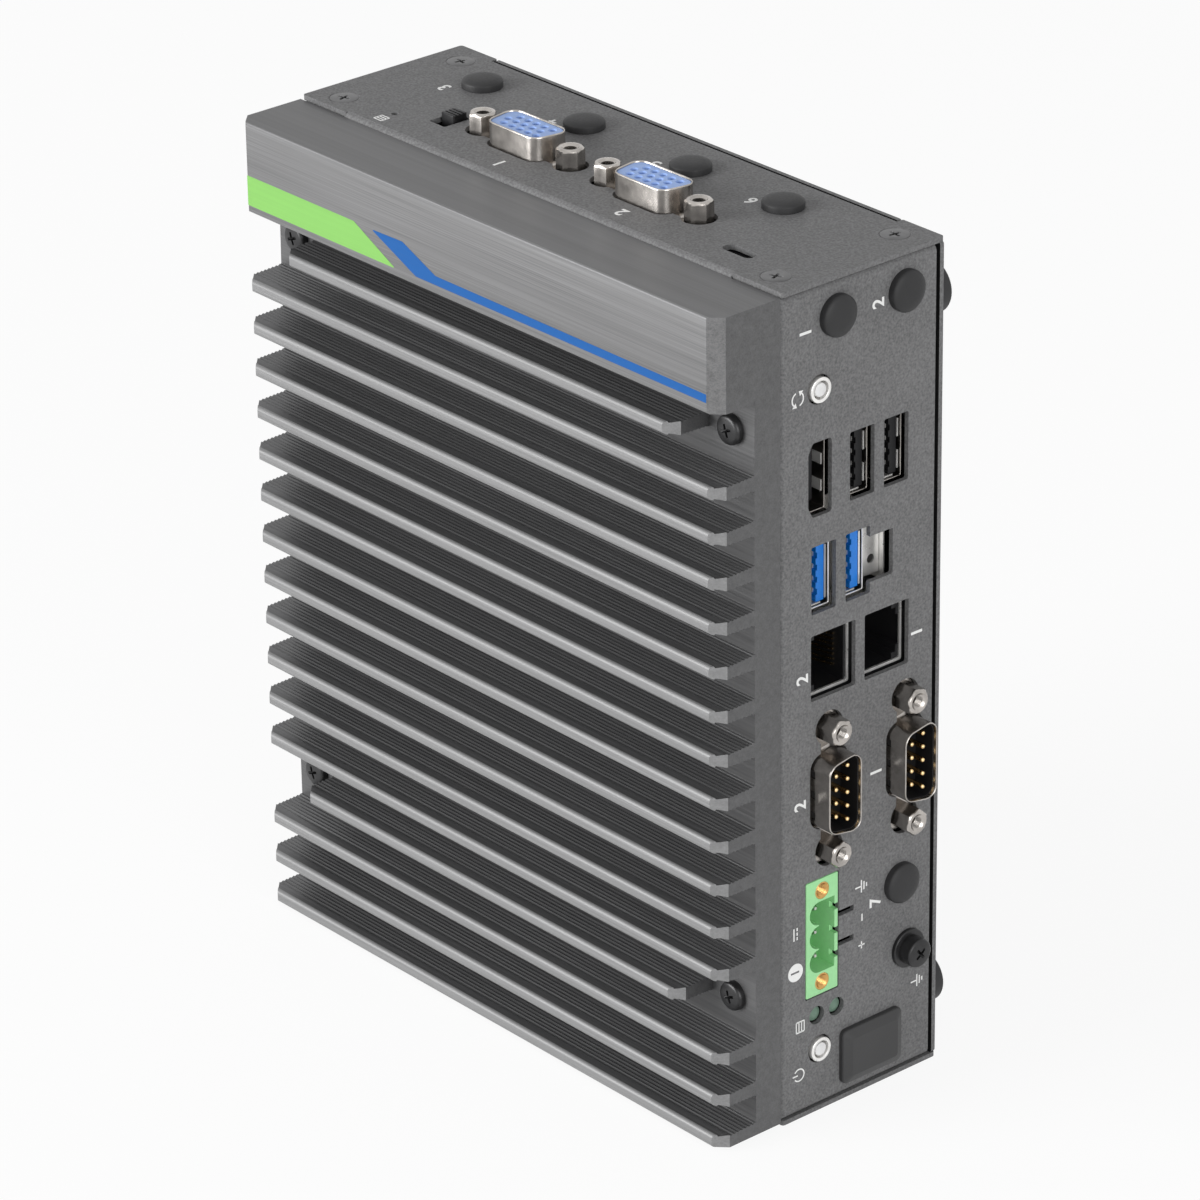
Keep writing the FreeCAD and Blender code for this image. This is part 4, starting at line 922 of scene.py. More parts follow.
@dataclass
class Sheets:
    """Folded frame, end panels and back cover, with the openings of everything that is mounted in them.

    Attributes:
        top_z: Underside of the top panel.
        inner_x: Inner plane of a side wall.
        wall_back: Where the side walls end.
        tab_back: Outer plane of the tabs that hold the cover.
        window: Half the width of the openings in the end flanges.
        lip: Half the length of an end panel's lip.
        notch: Half the width of the notch for the cover's tongue.
        chip: Half the side of the web's opening for the heat block.
        chip_level: Height of its middle.
        screw_x: Distance of the countersunk screws from the middle.
        screw_depths: Their depths in the end panels.
        cover_levels: Their heights in the cover.
        screw_radius: Radius of their heads.
        bore: Radius of their holes.
        mount: Half the distance between the cover's fixing holes.
        mount_bore: Radius of those holes.
        foot: Radius, height, crown and edge of a foot.
        foot_x: Distance of the feet from the middle.
        foot_margin: Their distance from the ends.
    """

    top_z: float = 167.0
    inner_x: float = 66.2
    wall_back: float = 25.6
    tab_back: float = 26.2
    window: float = 56.2
    lip: float = 54.2
    notch: float = 56.5
    chip: float = 23.0
    chip_level: float = 95.0
    screw_x: float = 60.5
    screw_depths: Point = (5.2, 34.0)
    cover_levels: Point = (32.0, 136.0)
    screw_radius: float = 2.9
    bore: float = 1.55
    mount: float = 37.5
    mount_bore: float = 1.65
    foot: tuple[float, ...] = (5.2, 5.0, 0.2, 0.6)
    foot_x: float = 59.5
    foot_margin: float = 13.0

    def screw_places(self) -> list[Matrix]:
        """Frames of the countersunk screws: top, bottom and back."""
        places = []
        for x in (-self.screw_x, self.screw_x):
            for depth in self.screw_depths:
                places += [top_place(x, depth), bottom_place(x, depth)]
            places += [back_place(x, level) for level in self.cover_levels]
        return places

    def seats(self, normal: Sequence[float]) -> list[Mesh]:
        """Cutters for the countersinks of the panel that faces one way."""
        head = self.screw_radius + 0.08
        profile = [(0, -3.0), (1.6, -3.0), (1.6, -0.95), (head, 0.0), (head, 1.0), (0, 1.0)]
        return [lathe(profile, place) for place in self.screw_places() if place.col[2].xyz.dot(normal) > 0.9]

    def frame(self, bench: Bench, openings: list[Mesh]) -> None:
        """Folds the frame: a block with rounded bends, hollowed, then its windows, holes and tabs."""
        t, wall, seat = CASE.sheet, CASE.half_width, CASE.seat_y
        block = box_between((-wall, seat, t), (wall, self.wall_back, self.top_z))
        ends = [edge for edge in block.edges
                if (on_plane(0, wall)(edge) or on_plane(0, -wall)(edge)) and not on_plane(1, self.wall_back)(edge)]
        bevel(block, ends, CASE.bend, 6)
        low, high, inner = 2 * t, self.top_z - t, seat + t
        hollow = box_between((-self.inner_x, inner, low), (self.inner_x, self.wall_back + 1, high))
        folds = [edge for edge in hollow.edges
                 if on_plane(1, inner)(edge) and abs(edge.verts[0].co.x - edge.verts[1].co.x) < 1e-3]
        bevel(hollow, folds, 0.5, 3)
        cutters = [hollow]
        relief = self.inner_x - t
        for bottom, top in ((0.0, low + 0.5), (high - 0.5, CASE.height)):
            cutters.append(box_between((-self.window, inner, bottom), (self.window, 30.0, top)))
            cutters.append(box_between((-relief, inner, bottom), (relief, seat + 2.6 * t, top)))
        half = self.lip + 0.5
        slots = [(half, -1.0, 8.5), (half, 159.5, 169.0),
                 (self.chip, self.chip_level - self.chip, self.chip_level + self.chip)]
        cutters += [box_between((-x, seat - 1, bottom), (x, seat + 2 * t, top)) for x, bottom, top in slots]
        cutters += [rod(self.bore, -4, 1, place) for place in self.screw_places()]
        body = cut(block, cutters + openings)
        soften(body, CASE.rim, on_plane(0, wall), 3)
        bench.add("folded_frame", body)
        for side in (-1, 1):
            for level in self.cover_levels:
                near, far = sorted((side * self.inner_x, side * (self.inner_x - 9.0)))
                tab = box_between((near, self.tab_back - t, level - 7), (far, self.tab_back, level + 7))
                hole = rod(self.bore, -4, 1, back_place(side * self.screw_x, level))
                bench.add("folded_frame", cut(tab, [hole]))

    def end_sheet(self, name: str, bench: Bench, top: bool, openings: list[Mesh]) -> None:
        """Bends one end panel: its plate, the lip behind the heatsink and the notch for the cover's tongue.

        Args:
            name: The piece.
            bench: Takes it.
            top: Whether it is the top panel.
            openings: Cutters of what is mounted in it.
        """
        seat, high, tip = CASE.seat_y, CASE.height, 160.0
        front, inner, back = seat + 0.5, seat + CASE.sheet, CASE.back_y
        half = [(self.lip, front + 0.6), (self.lip, front), (CASE.half_width, front), (CASE.half_width, back),
                (self.notch, back), (self.notch, 26.0)]
        outline = [(-x, y) for x, y in reversed(half)] + half
        radii = [0.2, 0.3, 0.6, 0.6, 0, 0]
        plate = solid(rounded(outline, radii + radii[::-1]), self.top_z, high)
        root = front + 3.0
        section = [(root, self.top_z), (root, high)]
        section += rounded([(root, high), (seat, high), (seat, tip)], [0, CASE.bend, 0], 6)[1:]
        section += rounded([(inner, tip), (inner, self.top_z), (root, self.top_z)],
                           [0, CASE.bend - CASE.sheet, 0], 3)[:-1]
        body = combined(plate, [solid(section, -self.lip, self.lip, SECTION)], "UNION")
        body = cut(body, openings + self.seats((0, 0, 1)))
        soften(body, CASE.rim, on_plane(2, high), 3)
        if not top:
            flip = moved(0, 0, high) @ Matrix.Diagonal((1, 1, -1, 1))
            bmesh.ops.transform(body, matrix=flip, verts=body.verts)
            bmesh.ops.recalc_face_normals(body, faces=body.faces)
        bench.add(name, body)

    def cover(self, bench: Bench) -> None:
        """Cuts the back cover with its tongues, gives its inner face painted shade, and adds the four tapped
        collars.
        """
        tongue, wall = self.notch - 0.15, CASE.half_width
        half = [(-wall, CASE.sheet), (-tongue, CASE.sheet), (-tongue, 0)]
        half += [(-x, z) for x, z in reversed(half)]
        outline = half + [(-x, CASE.height - z) for x, z in half]
        sheet = solid(rounded(outline, [0.6, 0.2, 0.6, 0.6, 0.2, 0.6] * 2), -CASE.sheet, 0.0, back_place(0, 0))
        spots = [back_place(x, CASE.height / 2 + level) for x in (-self.mount, self.mount)
                 for level in (-self.mount, self.mount)]
        body = cut(sheet, [rod(self.mount_bore, -4, 1, spot, 32) for spot in spots] + self.seats((0, 1, 0)))
        soften(body, CASE.rim, on_plane(1, CASE.back_y), 3)
        # The inner face, which looks into the case, takes the painted shade.
        body.normal_update()
        for face in body.faces:
            if face.normal.y < -0.9:
                face.material_index = 1
        ring = [(self.mount_bore, -3.2), (1.9, -3.2), (2.7, -1.1), (2.7, -0.9), (self.mount_bore, -0.9)]
        bench.add("cover_sheet", body, *(lathe(ring, spot, 32, True) for spot in spots))

    def build(self, bench: Bench, side: list[Mesh], top: list[Mesh]) -> None:
        """Makes the sheets with the given cutters of the side and the top, the countersunk screws and the feet."""
        self.frame(bench, side)
        self.end_sheet("top_sheet", bench, True, top)
        self.end_sheet("bottom_sheet", bench, False, [])
        self.cover(bench)
        radius = self.screw_radius
        profile = [(0, -4.8), (1.5, -4.8), (1.5, -1.0), (radius - 0.1, -0.14), (radius - 0.12, -0.06),
                   (radius - 0.35, 0.0), (0, 0.0)]
        arm = [(rectangle((1.3, 0.4), 0.1), -0.85), (rectangle((3.0, 0.62), 0.2), 0.2)]
        for index, place in enumerate(self.screw_places()):
            spin = place @ turned_about(15 + 31 * index)
            bench.add("flat_screws", recessed(lathe(profile, spin), arm, spin))
        for x in (-self.foot_x, self.foot_x):
            for level in (self.foot_margin, CASE.height - self.foot_margin):
                bench.add("feet", lathe(domed(*self.foot), back_place(x, level), 48))


@dataclass
class Fitting:
    """Something that is mounted in an opening of a panel, whose frame has its z axis outwards.

    Attributes:
        place: Its frame on the panel's face.
    """

    place: Matrix

    def outlines(self) -> list[Outline]:
        """Outlines of its openings in the panel."""
        return []

    def openings(self) -> list[Mesh]:
        """Cutters of its openings."""
        return [solid(outline, *THROUGH, self.place) for outline in self.outlines()]

    def build(self, bench: Bench) -> None:
        """Makes its pieces."""


def slanted(grow: float) -> list[Point]:
    """Slant-sided port outline, wide at -y, larger than the shell's outside by an amount."""
    long_half, short_half = 8.3 + grow, 4.1 + grow
    narrow = long_half - 2 * short_half * math.tan(math.radians(10.0))
    corners = [(-long_half, -short_half), (long_half, -short_half), (narrow, short_half), (-narrow, short_half)]
    return rounded(corners, 2.4 + grow, 5)


@dataclass
class SlantedPort(Fitting):
    """Port with a slant-sided shell between two jackscrews.

    Attributes:
        pins: Whether it has pins on a black body, or holes in a blue one.
        stand: How far the shell stands out of the panel.
        seat: The flange's face behind the panel.
        wall: Thickness of the shell.
        spacing: Distance between the jackscrews.
        post_stand: How far they stand out of the panel.
        flats: Width across their flats.
        bore: Radius of their thread.
    """

    pins: bool = True
    stand: float = 4.6
    seat: float = -1.3
    wall: float = 0.35
    spacing: float = 24.99
    post_stand: float = 3.7
    flats: float = 4.76
    bore: float = 1.42

    def outlines(self) -> list[Outline]:
        """The shell's outline joined to a round hole for each jackscrew."""
        rounds = [circle(3.4, (side * self.spacing / 2, 0)) for side in (-1, 1)]
        return [slanted(0.6), rectangle((self.spacing, 4.1)), *rounds]

    def shell(self) -> Mesh:
        """Collar with a flared foot and a rolled rim, on its flange, with three slots if it has pins."""
        foot, rim, wall = self.seat, self.stand, self.wall
        levels = [(0.75, foot - 0.1), (0.7, foot + 0.02), (0.36, foot + 0.16), (0.12, foot + 0.42),
                  (0.0, foot + 0.85), (0.0, rim - 0.3), (-0.03, rim - 0.14), (-0.1, rim - 0.04), (-wall / 2, rim),
                  (-wall + 0.1, rim - 0.04), (-wall, rim - 0.2), (-wall, foot - 0.05)]
        collar = stack([(slanted(grow), level) for grow, level in levels], self.place)
        made = merged([collar, solid(rectangle((30.6, 12.4), 1.0), foot - 0.8, foot, self.place)])
        if not self.pins:
            return made
        slots = [solid(rectangle((1.5, 1.6), 0, (shift, 4.1)), foot + 0.75, foot + 1.9, self.place)
                 for shift in (-4.2, 0.0, 4.2)]
        return cut(made, [merged(slots)])

    def ring(self, radius: float, hexagonal: bool = False) -> list[Point]:
        """A ring of 24 points: round, or round but kept inside the jackscrew's hexagon."""
        points = []
        for angle in range(0, 360, 15):
            flat = self.flats / 2 / math.cos(math.radians(angle % 60 - 30))
            reach = min(radius, flat) if hexagonal else radius
            points.append((reach * math.cos(math.radians(angle)), reach * math.sin(math.radians(angle))))
        return points

    def posts(self, bench: Bench) -> None:
        """Adds both jackscrews: chamfered hexagons with a threaded bore."""
        top = self.post_stand
        outside = ((3.0, self.seat), (3.0, top - 0.62), (2.62, top - 0.3), (2.3, top - 0.06), (2.15, top))
        levels = [(self.ring(radius, True), level) for radius, level in outside]
        levels += [(self.ring(self.bore + 0.3), top), (self.ring(self.bore), top - 0.3)]
        for turn in range(1, 9):
            level = top - 0.3 - 0.22 * turn
            levels += [(self.ring(self.bore - 0.17), level + 0.11), (self.ring(self.bore), level)]
        levels.append((self.ring(self.bore - 0.3), top - 3.0))
        for side in (-1, 1):
            spot = self.place @ moved(side * self.spacing / 2) @ turned_about(13 * side)
            bench.add("hex_posts", stack(levels, spot))

    def build(self, bench: Bench) -> None:
        """Makes the shell, the body with its pins or holes (with pins, its black walls line the shell as painted
        shade), and the jackscrews.
        """
        bench.add("port_shells", self.shell())
        self.posts(bench)
        fit = -self.wall - 0.02
        if self.pins:
            rim = self.stand - 0.8
            # Black insulator floor, with walls up the shell's inside to its rim: painted shade in the shell.
            cup = [(0, -7.0), (0, rim - 0.1), (-0.2, rim), (-0.25, rim - 0.3), (-0.25, -0.7)]
            bench.add("pin_port_bodies", stack([(slanted(fit + grow), level) for grow, level in cup], self.place))
            pin = [(0, -0.8), (0.5, -0.8), (0.5, 3.2), (0.42, 3.5), (0.25, 3.66), (0, 3.7)]
            for count, side in ((5, -1), (4, 1)):
                for index in range(count):
                    spot = moved((index - (count - 1) / 2) * 2.77, side * 1.42)
                    bench.add("port_pins", lathe(pin, self.place @ spot, 20))
            return
        top = self.stand - 0.3
        levels = [(slanted(fit), -7.0), (slanted(fit), top - 0.15), (slanted(fit - 0.1), top)]
        hole = [(0, top - 2.5), (0.62, top - 2.5), (0.62, top - 0.25), (0.85, top + 0.02), (0.85, top + 0.5),
                (0, top + 0.5)]
        spots = [moved(shift + (index - 2) * 2.29, row * 1.98)
                 for row, shift in ((-1, -0.57), (0, 0.57), (1, -0.57)) for index in range(5)]
        holes = merged([lathe(hole, self.place @ spot, 20) for spot in spots])
        bench.add("hole_port_bodies", cut(stack(levels, self.place), [holes]))


def rolled(loop: Callable[[float], Outline], back: float, rim: float, wall: float) -> Levels:
    """Levels of a sheet tube with a rolled lip: outside from back to rim, then inside down to its floor."""
    steps = ((0.0, back), (0.0, rim - 0.2), (-0.06, rim - 0.04), (-0.15, rim), (-0.24, rim - 0.04),
             (-wall, rim - 0.2), (-wall, back + 0.3))
    return [(loop(grow), level) for grow, level in steps]


@dataclass
class DataPair(Fitting):
    """Two flat data sockets one above the other, seen as two upright mouths.

    Attributes:
        colour: Start of the names of the pieces that take the shells and the tongues.
        window: Low and high corner of the extra opening beside the second socket, or nothing.
        split: Whether its springs show as two lines.
        mouth: Width and thickness of a mouth.
        pitch: Distance between the two.
        recess: How far the mouth lies behind the panel's face.
        depth: How deep a socket is.
        wall: Thickness of the shells.
    """

    colour: str = "black"
    window: tuple[Point, Point] | None = None
    split: bool = True
    mouth: Point = (13.0, 5.6)
    pitch: float = 8.4
    recess: float = 1.6
    depth: float = 13.5
    wall: float = 0.3

    def spots(self) -> list[Matrix]:
        """Frames of the two sockets."""
        return [self.place @ moved(0, shift) for shift in (0, -self.pitch)]

    def outlines(self) -> list[Outline]:
        """The extra opening beside the second socket."""
        if not self.window:
            return []
        (left, low), (right, high) = self.window
        return [rectangle((right - left, high - low), 0.3, ((left + right) / 2, (low + high) / 2))]

    def openings(self) -> list[Mesh]:
        """Cutters of both mouths and of the extra opening."""
        mouth = rectangle(grown(self.mouth, 0.2), 0.35)
        return [solid(mouth, *THROUGH, spot) for spot in self.spots()] + super().openings()

    def loop(self, grow: float) -> list[Point]:
        """The mouth's outline, grown."""
        return rectangle(grown(self.mouth, grow), 0.5 + grow, (0, 0), 4)

    def build(self, bench: Bench) -> None:
        """Makes shells with rolled lips, tongues with contacts, and springs."""
        rim, wall = -self.recess, self.wall
        back = rim - self.depth
        floor = back + wall
        shell, tongues = f"{self.colour}_pair_shell", f"{self.colour}_pair_tongues"
        low_wall = -self.mouth[1] / 2 + 0.72
        contacts = [(index - 1.5) * 2.4 for index in range(4)]
        springs = [((0.9, 0.16), 0, (x, -0.18), rim - 6.5, rim - 1.5) for x in contacts]
        spans = ((-3.1, 3.6), (3.1, 3.6)) if self.split else ((0.0, 10.6),)
        springs += [((length, 0.34), 0.1, (middle, low_wall), rim - 4.5, rim - 0.35) for middle, length in spans]
        springs.append(((0.3, 2.6), 0.1, (-self.mouth[0] / 2 + 0.55, 0.2), rim - 4.5, rim - 0.5))
        for spot in self.spots():
            # The last two levels, inside the mouth, take painted shade.
            bench.add(shell, stack(rolled(self.loop, back, rim, wall), spot, 2))
            bench.prism(tongues, rectangle(grown(self.mouth, -0.33), 0.2), floor, back + 3.3, spot)
            tongue = solid(rectangle((11.2, 1.9), 0.15, (0, -0.85)), floor, rim - 0.45, spot)
            slots = [solid(rectangle((1.2, 0.5), 0, (x, 0.0)), rim - 7.0, rim + 1.0, spot) for x in contacts]
            bench.add(tongues, cut(tongue, [merged(slots)]))
            for size, radius, centre, bottom, top in springs:
                bench.prism("socket_springs", rectangle(size, radius, centre), bottom, top, spot)
        width = self.mouth[0] + 1.0
        low = self.window[0][1] - 0.5 if self.window else -self.pitch - 3.9
        bench.prism(shell, rectangle((width, wall), 0, (0, low + wall / 2)), back, rim - 1.2, self.place)
        if self.window:
            bottom, top = low + wall, -self.pitch - 2.8
            plate = rectangle((width, top - bottom), 0, (0, (top + bottom) / 2))
            bench.prism(shell, plate, back, floor, self.place)
            ledge = solid(rectangle((11.0, 4.4), 0.3, (0.0, low + 2.6)), rim - 2.6, rim - 2.3, self.place)
            hole = solid(circle(0.9, (-2.4, low + 2.4), 20), rim - 4, rim, self.place)
            bench.add(shell, cut(ledge, [hole]))


@dataclass
class VideoSocket(Fitting):
    """Video socket with two cut corners towards the heatsink.

    Attributes:
        size: Width and thickness of its mouth.
        shoulder: Width of a cut corner.
        recess: How far the mouth lies behind the panel's face.
        depth: How deep the socket is.
    """

    size: Point = (14.1, 5.3)
    shoulder: float = 2.1
    recess: float = 1.6
    depth: float = 13.5

    def loop(self, grow: float) -> list[Point]:
        """The mouth's outline, grown, with small rounded corners."""
        a, b = self.size[0] / 2 + grow, self.size[1] / 2 + grow
        right = [(a, -b), (a, b - self.shoulder / 2), (a - self.shoulder, b)]
        return rounded([(-a, -b), *right, (-a + self.shoulder, b), (-a, b - self.shoulder / 2)], 0.5 + grow, 3)

    def outlines(self) -> list[Outline]:
        """One opening of the mouth's shape."""
        return [self.loop(0.2)]

    def build(self, bench: Bench) -> None:
        """Makes the shell, the tongue with its contacts and the holding springs."""
        rim = -self.recess
        back = rim - self.depth
        # The last two levels, inside the mouth, take painted shade.
        bench.add("video_rim", stack(rolled(self.loop, back, rim, 0.32), self.place, 2))
        tongue = solid(rectangle((10.4, 1.2), 0.15), back + 0.3, rim - 1.2, self.place)
        soften(tongue, 0.08, every_edge)
        bench.add("video_core", solid(self.loop(-0.34), back + 0.3, back + 3.3, self.place), tongue)
        for index in range(9):
            contact = rectangle((0.45, 0.1), 0, ((index - 4) * 1.0, 0.62))
            bench.prism("socket_springs", contact, rim - 8.0, rim - 1.7, self.place)
        for shift in (-2.6, 2.6):
            spring = rectangle((2.2, 0.28), 0.1, (shift, -self.size[1] / 2 + 0.6))
            bench.prism("socket_springs", spring, rim - 4.0, rim - 0.4, self.place)


@dataclass
class NetworkPair(Fitting):
    """Two network jacks back to back under one shield.

    Attributes:
        spots: Offsets of the two jacks along local y, with the side of each latch.
        mouth: Opening of one jack.
        latch: Width and height of its latch's channel.
        rim: Height of the shield's front.
        back: Height of its back.
    """

    spots: tuple[tuple[float, int], ...] = ((0.0, 1), (-13.3, -1))
    mouth: Point = (12.7, 10.6)
    latch: Point = (6.2, 1.7)
    rim: float = -1.6
    back: float = -18.8

    def outlines(self) -> list[Outline]:
        """A rectangle for each jack."""
        return [rectangle(grown(self.mouth, 0.2), 0.35, (0, shift)) for shift, _side in self.spots]

    def cavity(self, shift: float, side: int) -> list[Mesh]:
        """Cutters of one jack's plug space: a wide body, a stepped part and the latch channel.

        Args:
            shift: The jack's offset along local y.
            side: The latch's side.

        Returns:
            The cutters.
        """
        width, height = self.mouth
        tall = height - 2 * self.latch[1]
        centre, reach = shift - side * 0.6, tall / 2
        shapes = [rectangle((width - 0.9, tall), 0.25, (0, centre)),
                  rectangle((9.0, 1.1), 0.1, (0, centre + side * (reach + 0.5))),
                  rectangle((self.latch[0], 2.0), 0.1, (0, centre + side * (reach + 1.1)))]
        return [solid(shape, -12.0, self.rim + 2, self.place) for shape in shapes]

    def build(self, bench: Bench) -> None:
        """Makes the shield, the black body and the eight wires of each jack."""
        rim, (width, height) = self.rim, self.mouth
        low, high = self.spots[1][0] - height / 2 - 1.5, self.spots[0][0] + height / 2 + 1.2
        centre, size = (0, (low + high) / 2), (width + 3.0, high - low)
        body = solid(rectangle(grown(size, -0.35), 0.2, centre), self.back + 0.3, rim - 0.35, self.place)
        bench.add("jack_body", cut(body, [cutter for spot in self.spots for cutter in self.cavity(*spot)]))
        lip = ((0, self.back), (0, rim - 0.15), (-0.1, rim), (-0.22, rim - 0.04), (-0.32, rim - 0.2),
               (-0.32, self.back + 0.3))
        levels = [(rectangle(grown(size, grow), 0.6 + grow, centre, 4), level) for grow, level in lip]
        bench.add("jack_shield", stack(levels, self.place))
        for shift, side in self.spots:
            outer = rectangle((width - 0.1, height - 0.1), 0.4, (0, shift))
            inner = rectangle((width - 0.9, height - 0.8), 0.4, (0.15, shift + 0.1))
            front = solid(outer, rim - 0.5, rim - 0.05, self.place)
            bench.add("jack_shield", cut(front, [solid(inner, rim - 1.0, rim + 1.0, self.place)]))
            wall = shift - side * (0.6 + height / 2 - self.latch[1])
            heel, toe = (rim - 3.0, wall + side * 0.15), (rim - 11.9, wall + side * 2.6)
            along = Vector((0, toe[1] - heel[1], toe[0] - heel[0]))
            turn = Vector((0, 0, -1)).rotation_difference(along).to_matrix().to_4x4()
            for index in range(8):
                spot = self.place @ moved((index - 3.5) * 1.02, heel[1], heel[0]) @ turn
                bench.prism("jack_wires", rectangle((0.36, 0.3), 0.08), -along.length, 0.0, spot)


@dataclass
class PowerHeader(Fitting):
    """Green header with three scalloped bays, pins and two threaded inserts.

    Attributes:
        size: Its length and width.
        pitch: Distance between its pins.
        insert: Distance between its inserts.
        depth: How far it reaches inwards.
        cavity: Depth of its bays.
        wall: Thickness of its walls.
        scallop: Radius of a bay's round side.
    """

    size: Point = (24.2, 8.0)
    pitch: float = 5.0
    insert: float = 19.1
    depth: float = 12.0
    cavity: float = 8.6
    wall: float = 0.9
    scallop: float = 2.4

    def outlines(self) -> list[Outline]:
        """The header's rectangle and the two key slots beside it."""
        slots = [rectangle((1.2, 4.0), 0.15, (x, -self.size[1] / 2 - 2.0)) for x in (-3.1, 3.1)]
        return [rectangle(grown(self.size, 0.2), 0.3), *slots]

    def build(self, bench: Bench) -> None:
        """Makes the housing, its pins and the inserts."""
        housing = solid(rectangle(self.size, 0.3), -self.depth, 0.0, self.place)
        soften(housing, 0.15, every_edge)
        edge = self.size[1] / 2
        span, wide = 1.5 * self.pitch - 0.1, -edge + self.wall
        trough = [(-span, wide), (span, wide), (span, 0.8), (-span, 0.8)]
        cutters = [solid(trough, -self.cavity, 1.0, self.place)]
        for x in (-self.pitch, 0.0, self.pitch):
            bay = circle(self.scallop, (x, edge - self.wall - self.scallop), 36)
            cutters.append(solid(bay, -self.cavity, 1.0, self.place))
            cutters.append(solid(rectangle((1.3, 2.0), 0.1, (x, -edge + 0.2)), -1.5, 1.0, self.place))
            thick, thin = rectangle((1.0, 1.0), 0.08, (x, 0)), rectangle((0.5, 0.5), 0.04, (x, 0))
            pin = [(thick, -self.cavity - 1), (thick, -2.2), (thin, -1.8)]
            bench.add("header_posts", stack(pin, self.place))
        thread = [(1.74, -7.0), (1.74, -0.05), (1.66, 0.03), (1.45, 0.03), (1.25, -0.2)]
        for turn in range(8):
            thread += [(1.1, -0.32 - 0.25 * turn), (1.25, -0.45 - 0.25 * turn)]
        for side in (-1, 1):
            spot = self.place @ moved(side * self.insert / 2)
            cutters.append(rod(1.75, -7, 1, spot, 32))
            bench.add("header_bushes", lathe(thread + [(1.1, -7.0)], spot, 32, True))
        bench.add("header_housing", cut(housing, cutters))


@dataclass
class PushButton(Fitting):
    """Button: a metal bushing in its hole, a dark gap and the cap that sinks in it.

    Attributes:
        use: Start of the names of its pieces.
    """

    use: str = "power"

    def outlines(self) -> list[Outline]:
        """The round hole."""
        return [circle(2.85)]

    def build(self, bench: Bench) -> None:
        """Makes the bushing with its thread, the switch body behind it and the cap."""
        profile = [(1.75, -3.0), (2.5, -3.0)]
        for turn in range(4):
            profile += [(2.5, -2.6 + 0.6 * turn), (2.36, -2.3 + 0.6 * turn)]
        profile += [(2.5, 0.3), (2.42, 0.52), (2.3, 0.6), (1.95, 0.6), (1.8, 0.52), (1.75, 0.35)]
        switch = solid(rectangle((7.0, 7.0), 0.3), -5.7, -2.6, self.place)
        bench.add(f"{self.use}_bushing", lathe(profile, self.place, 48, True), switch)
        cap = [(0, -2.1), (1.35, -2.1), (1.35, 0.25), (1.25, 0.4), (1.05, 0.45), (0, 0.45)]
        bench.add(f"{self.use}_push", lathe(cap, self.place))


@dataclass
class Lamp(Fitting):
    """Status lamp sunk in a round hole."""

    def outlines(self) -> list[Outline]:
        """The round hole."""
        return [circle(1.85)]

    def build(self, bench: Bench) -> None:
        """Makes the domed lens."""
        bench.add("lamp_lenses", lathe(domed(1.6, 5.0, 0.3, 0.4), self.place @ moved(0, 0, -5.5)))


@dataclass
class AntennaCap(Fitting):
    """Rubber plug in an antenna hole."""

    def outlines(self) -> list[Outline]:
        """The round hole under the plug."""
        return [circle(3.25)]

    def build(self, bench: Bench) -> None:
        """Makes the domed head with its stem."""
        profile = [(0, -2.7), (2.6, -2.7), (3.1, -2.2), (3.1, 0.02), (4.0, 0.02), (4.0, 1.1), (3.92, 1.32),
                   (3.7, 1.52), (3.35, 1.7), (2.9, 1.85), (2.4, 1.96), (1.7, 2.05), (0, 2.1)]
        bench.add("antenna_caps", lathe(profile, self.place, 48))


@dataclass
class PortPad(Fitting):
    """Rubber cover of the spare port: a bevelled pad with a flat top.

    Attributes:
        size: Its height and width on the panel.
        height: How far it stands out.
        bevel: Width of its bevel.
    """

    size: Point = (11.4, 15.1)
    height: float = 1.9
    bevel: float = 1.7

    def outlines(self) -> list[Outline]:
        """The opening behind it."""
        return [rectangle(grown(self.size, -0.8))]

    def build(self, bench: Bench) -> None:
        """Makes the pad and its plug."""
        steps = ((0, 0.01), (0, self.height * 0.45), (0.12, self.height * 0.58),
                 (self.bevel - 0.1, self.height - 0.06), (self.bevel + 0.1, self.height))
        levels = [(rectangle(grown(self.size, -shrink), 1.2 - 0.3 * shrink, (0, 0), 4), level)
                  for shrink, level in steps]
        plug = solid(rectangle(grown(self.size, -0.9), 0.4), -3.0, 0.3, self.place)
        bench.add("port_pad", stack(levels, self.place), plug)


@dataclass
class EarthScrew(Fitting):
    """Black cheese-head screw with its washer."""

    def outlines(self) -> list[Outline]:
        """Its thread's hole."""
        return [circle(1.55, (0, 0), 24)]

    def build(self, bench: Bench) -> None:
        """Makes the washer and the screw."""
        washer = [(1.6, 0.0), (3.9, 0.0), (3.9, 0.7), (3.75, 0.86), (3.5, 0.9), (1.6, 0.9)]
        bench.add("earth_washer", lathe(washer, self.place, 48, True))
        lifted = self.place @ moved(0, 0, 0.9)
        bench.add("earth_screw", pan_screw(3.0, 0.45, lifted, 38.0), rod(1.5, -5.0, 0.2, lifted))


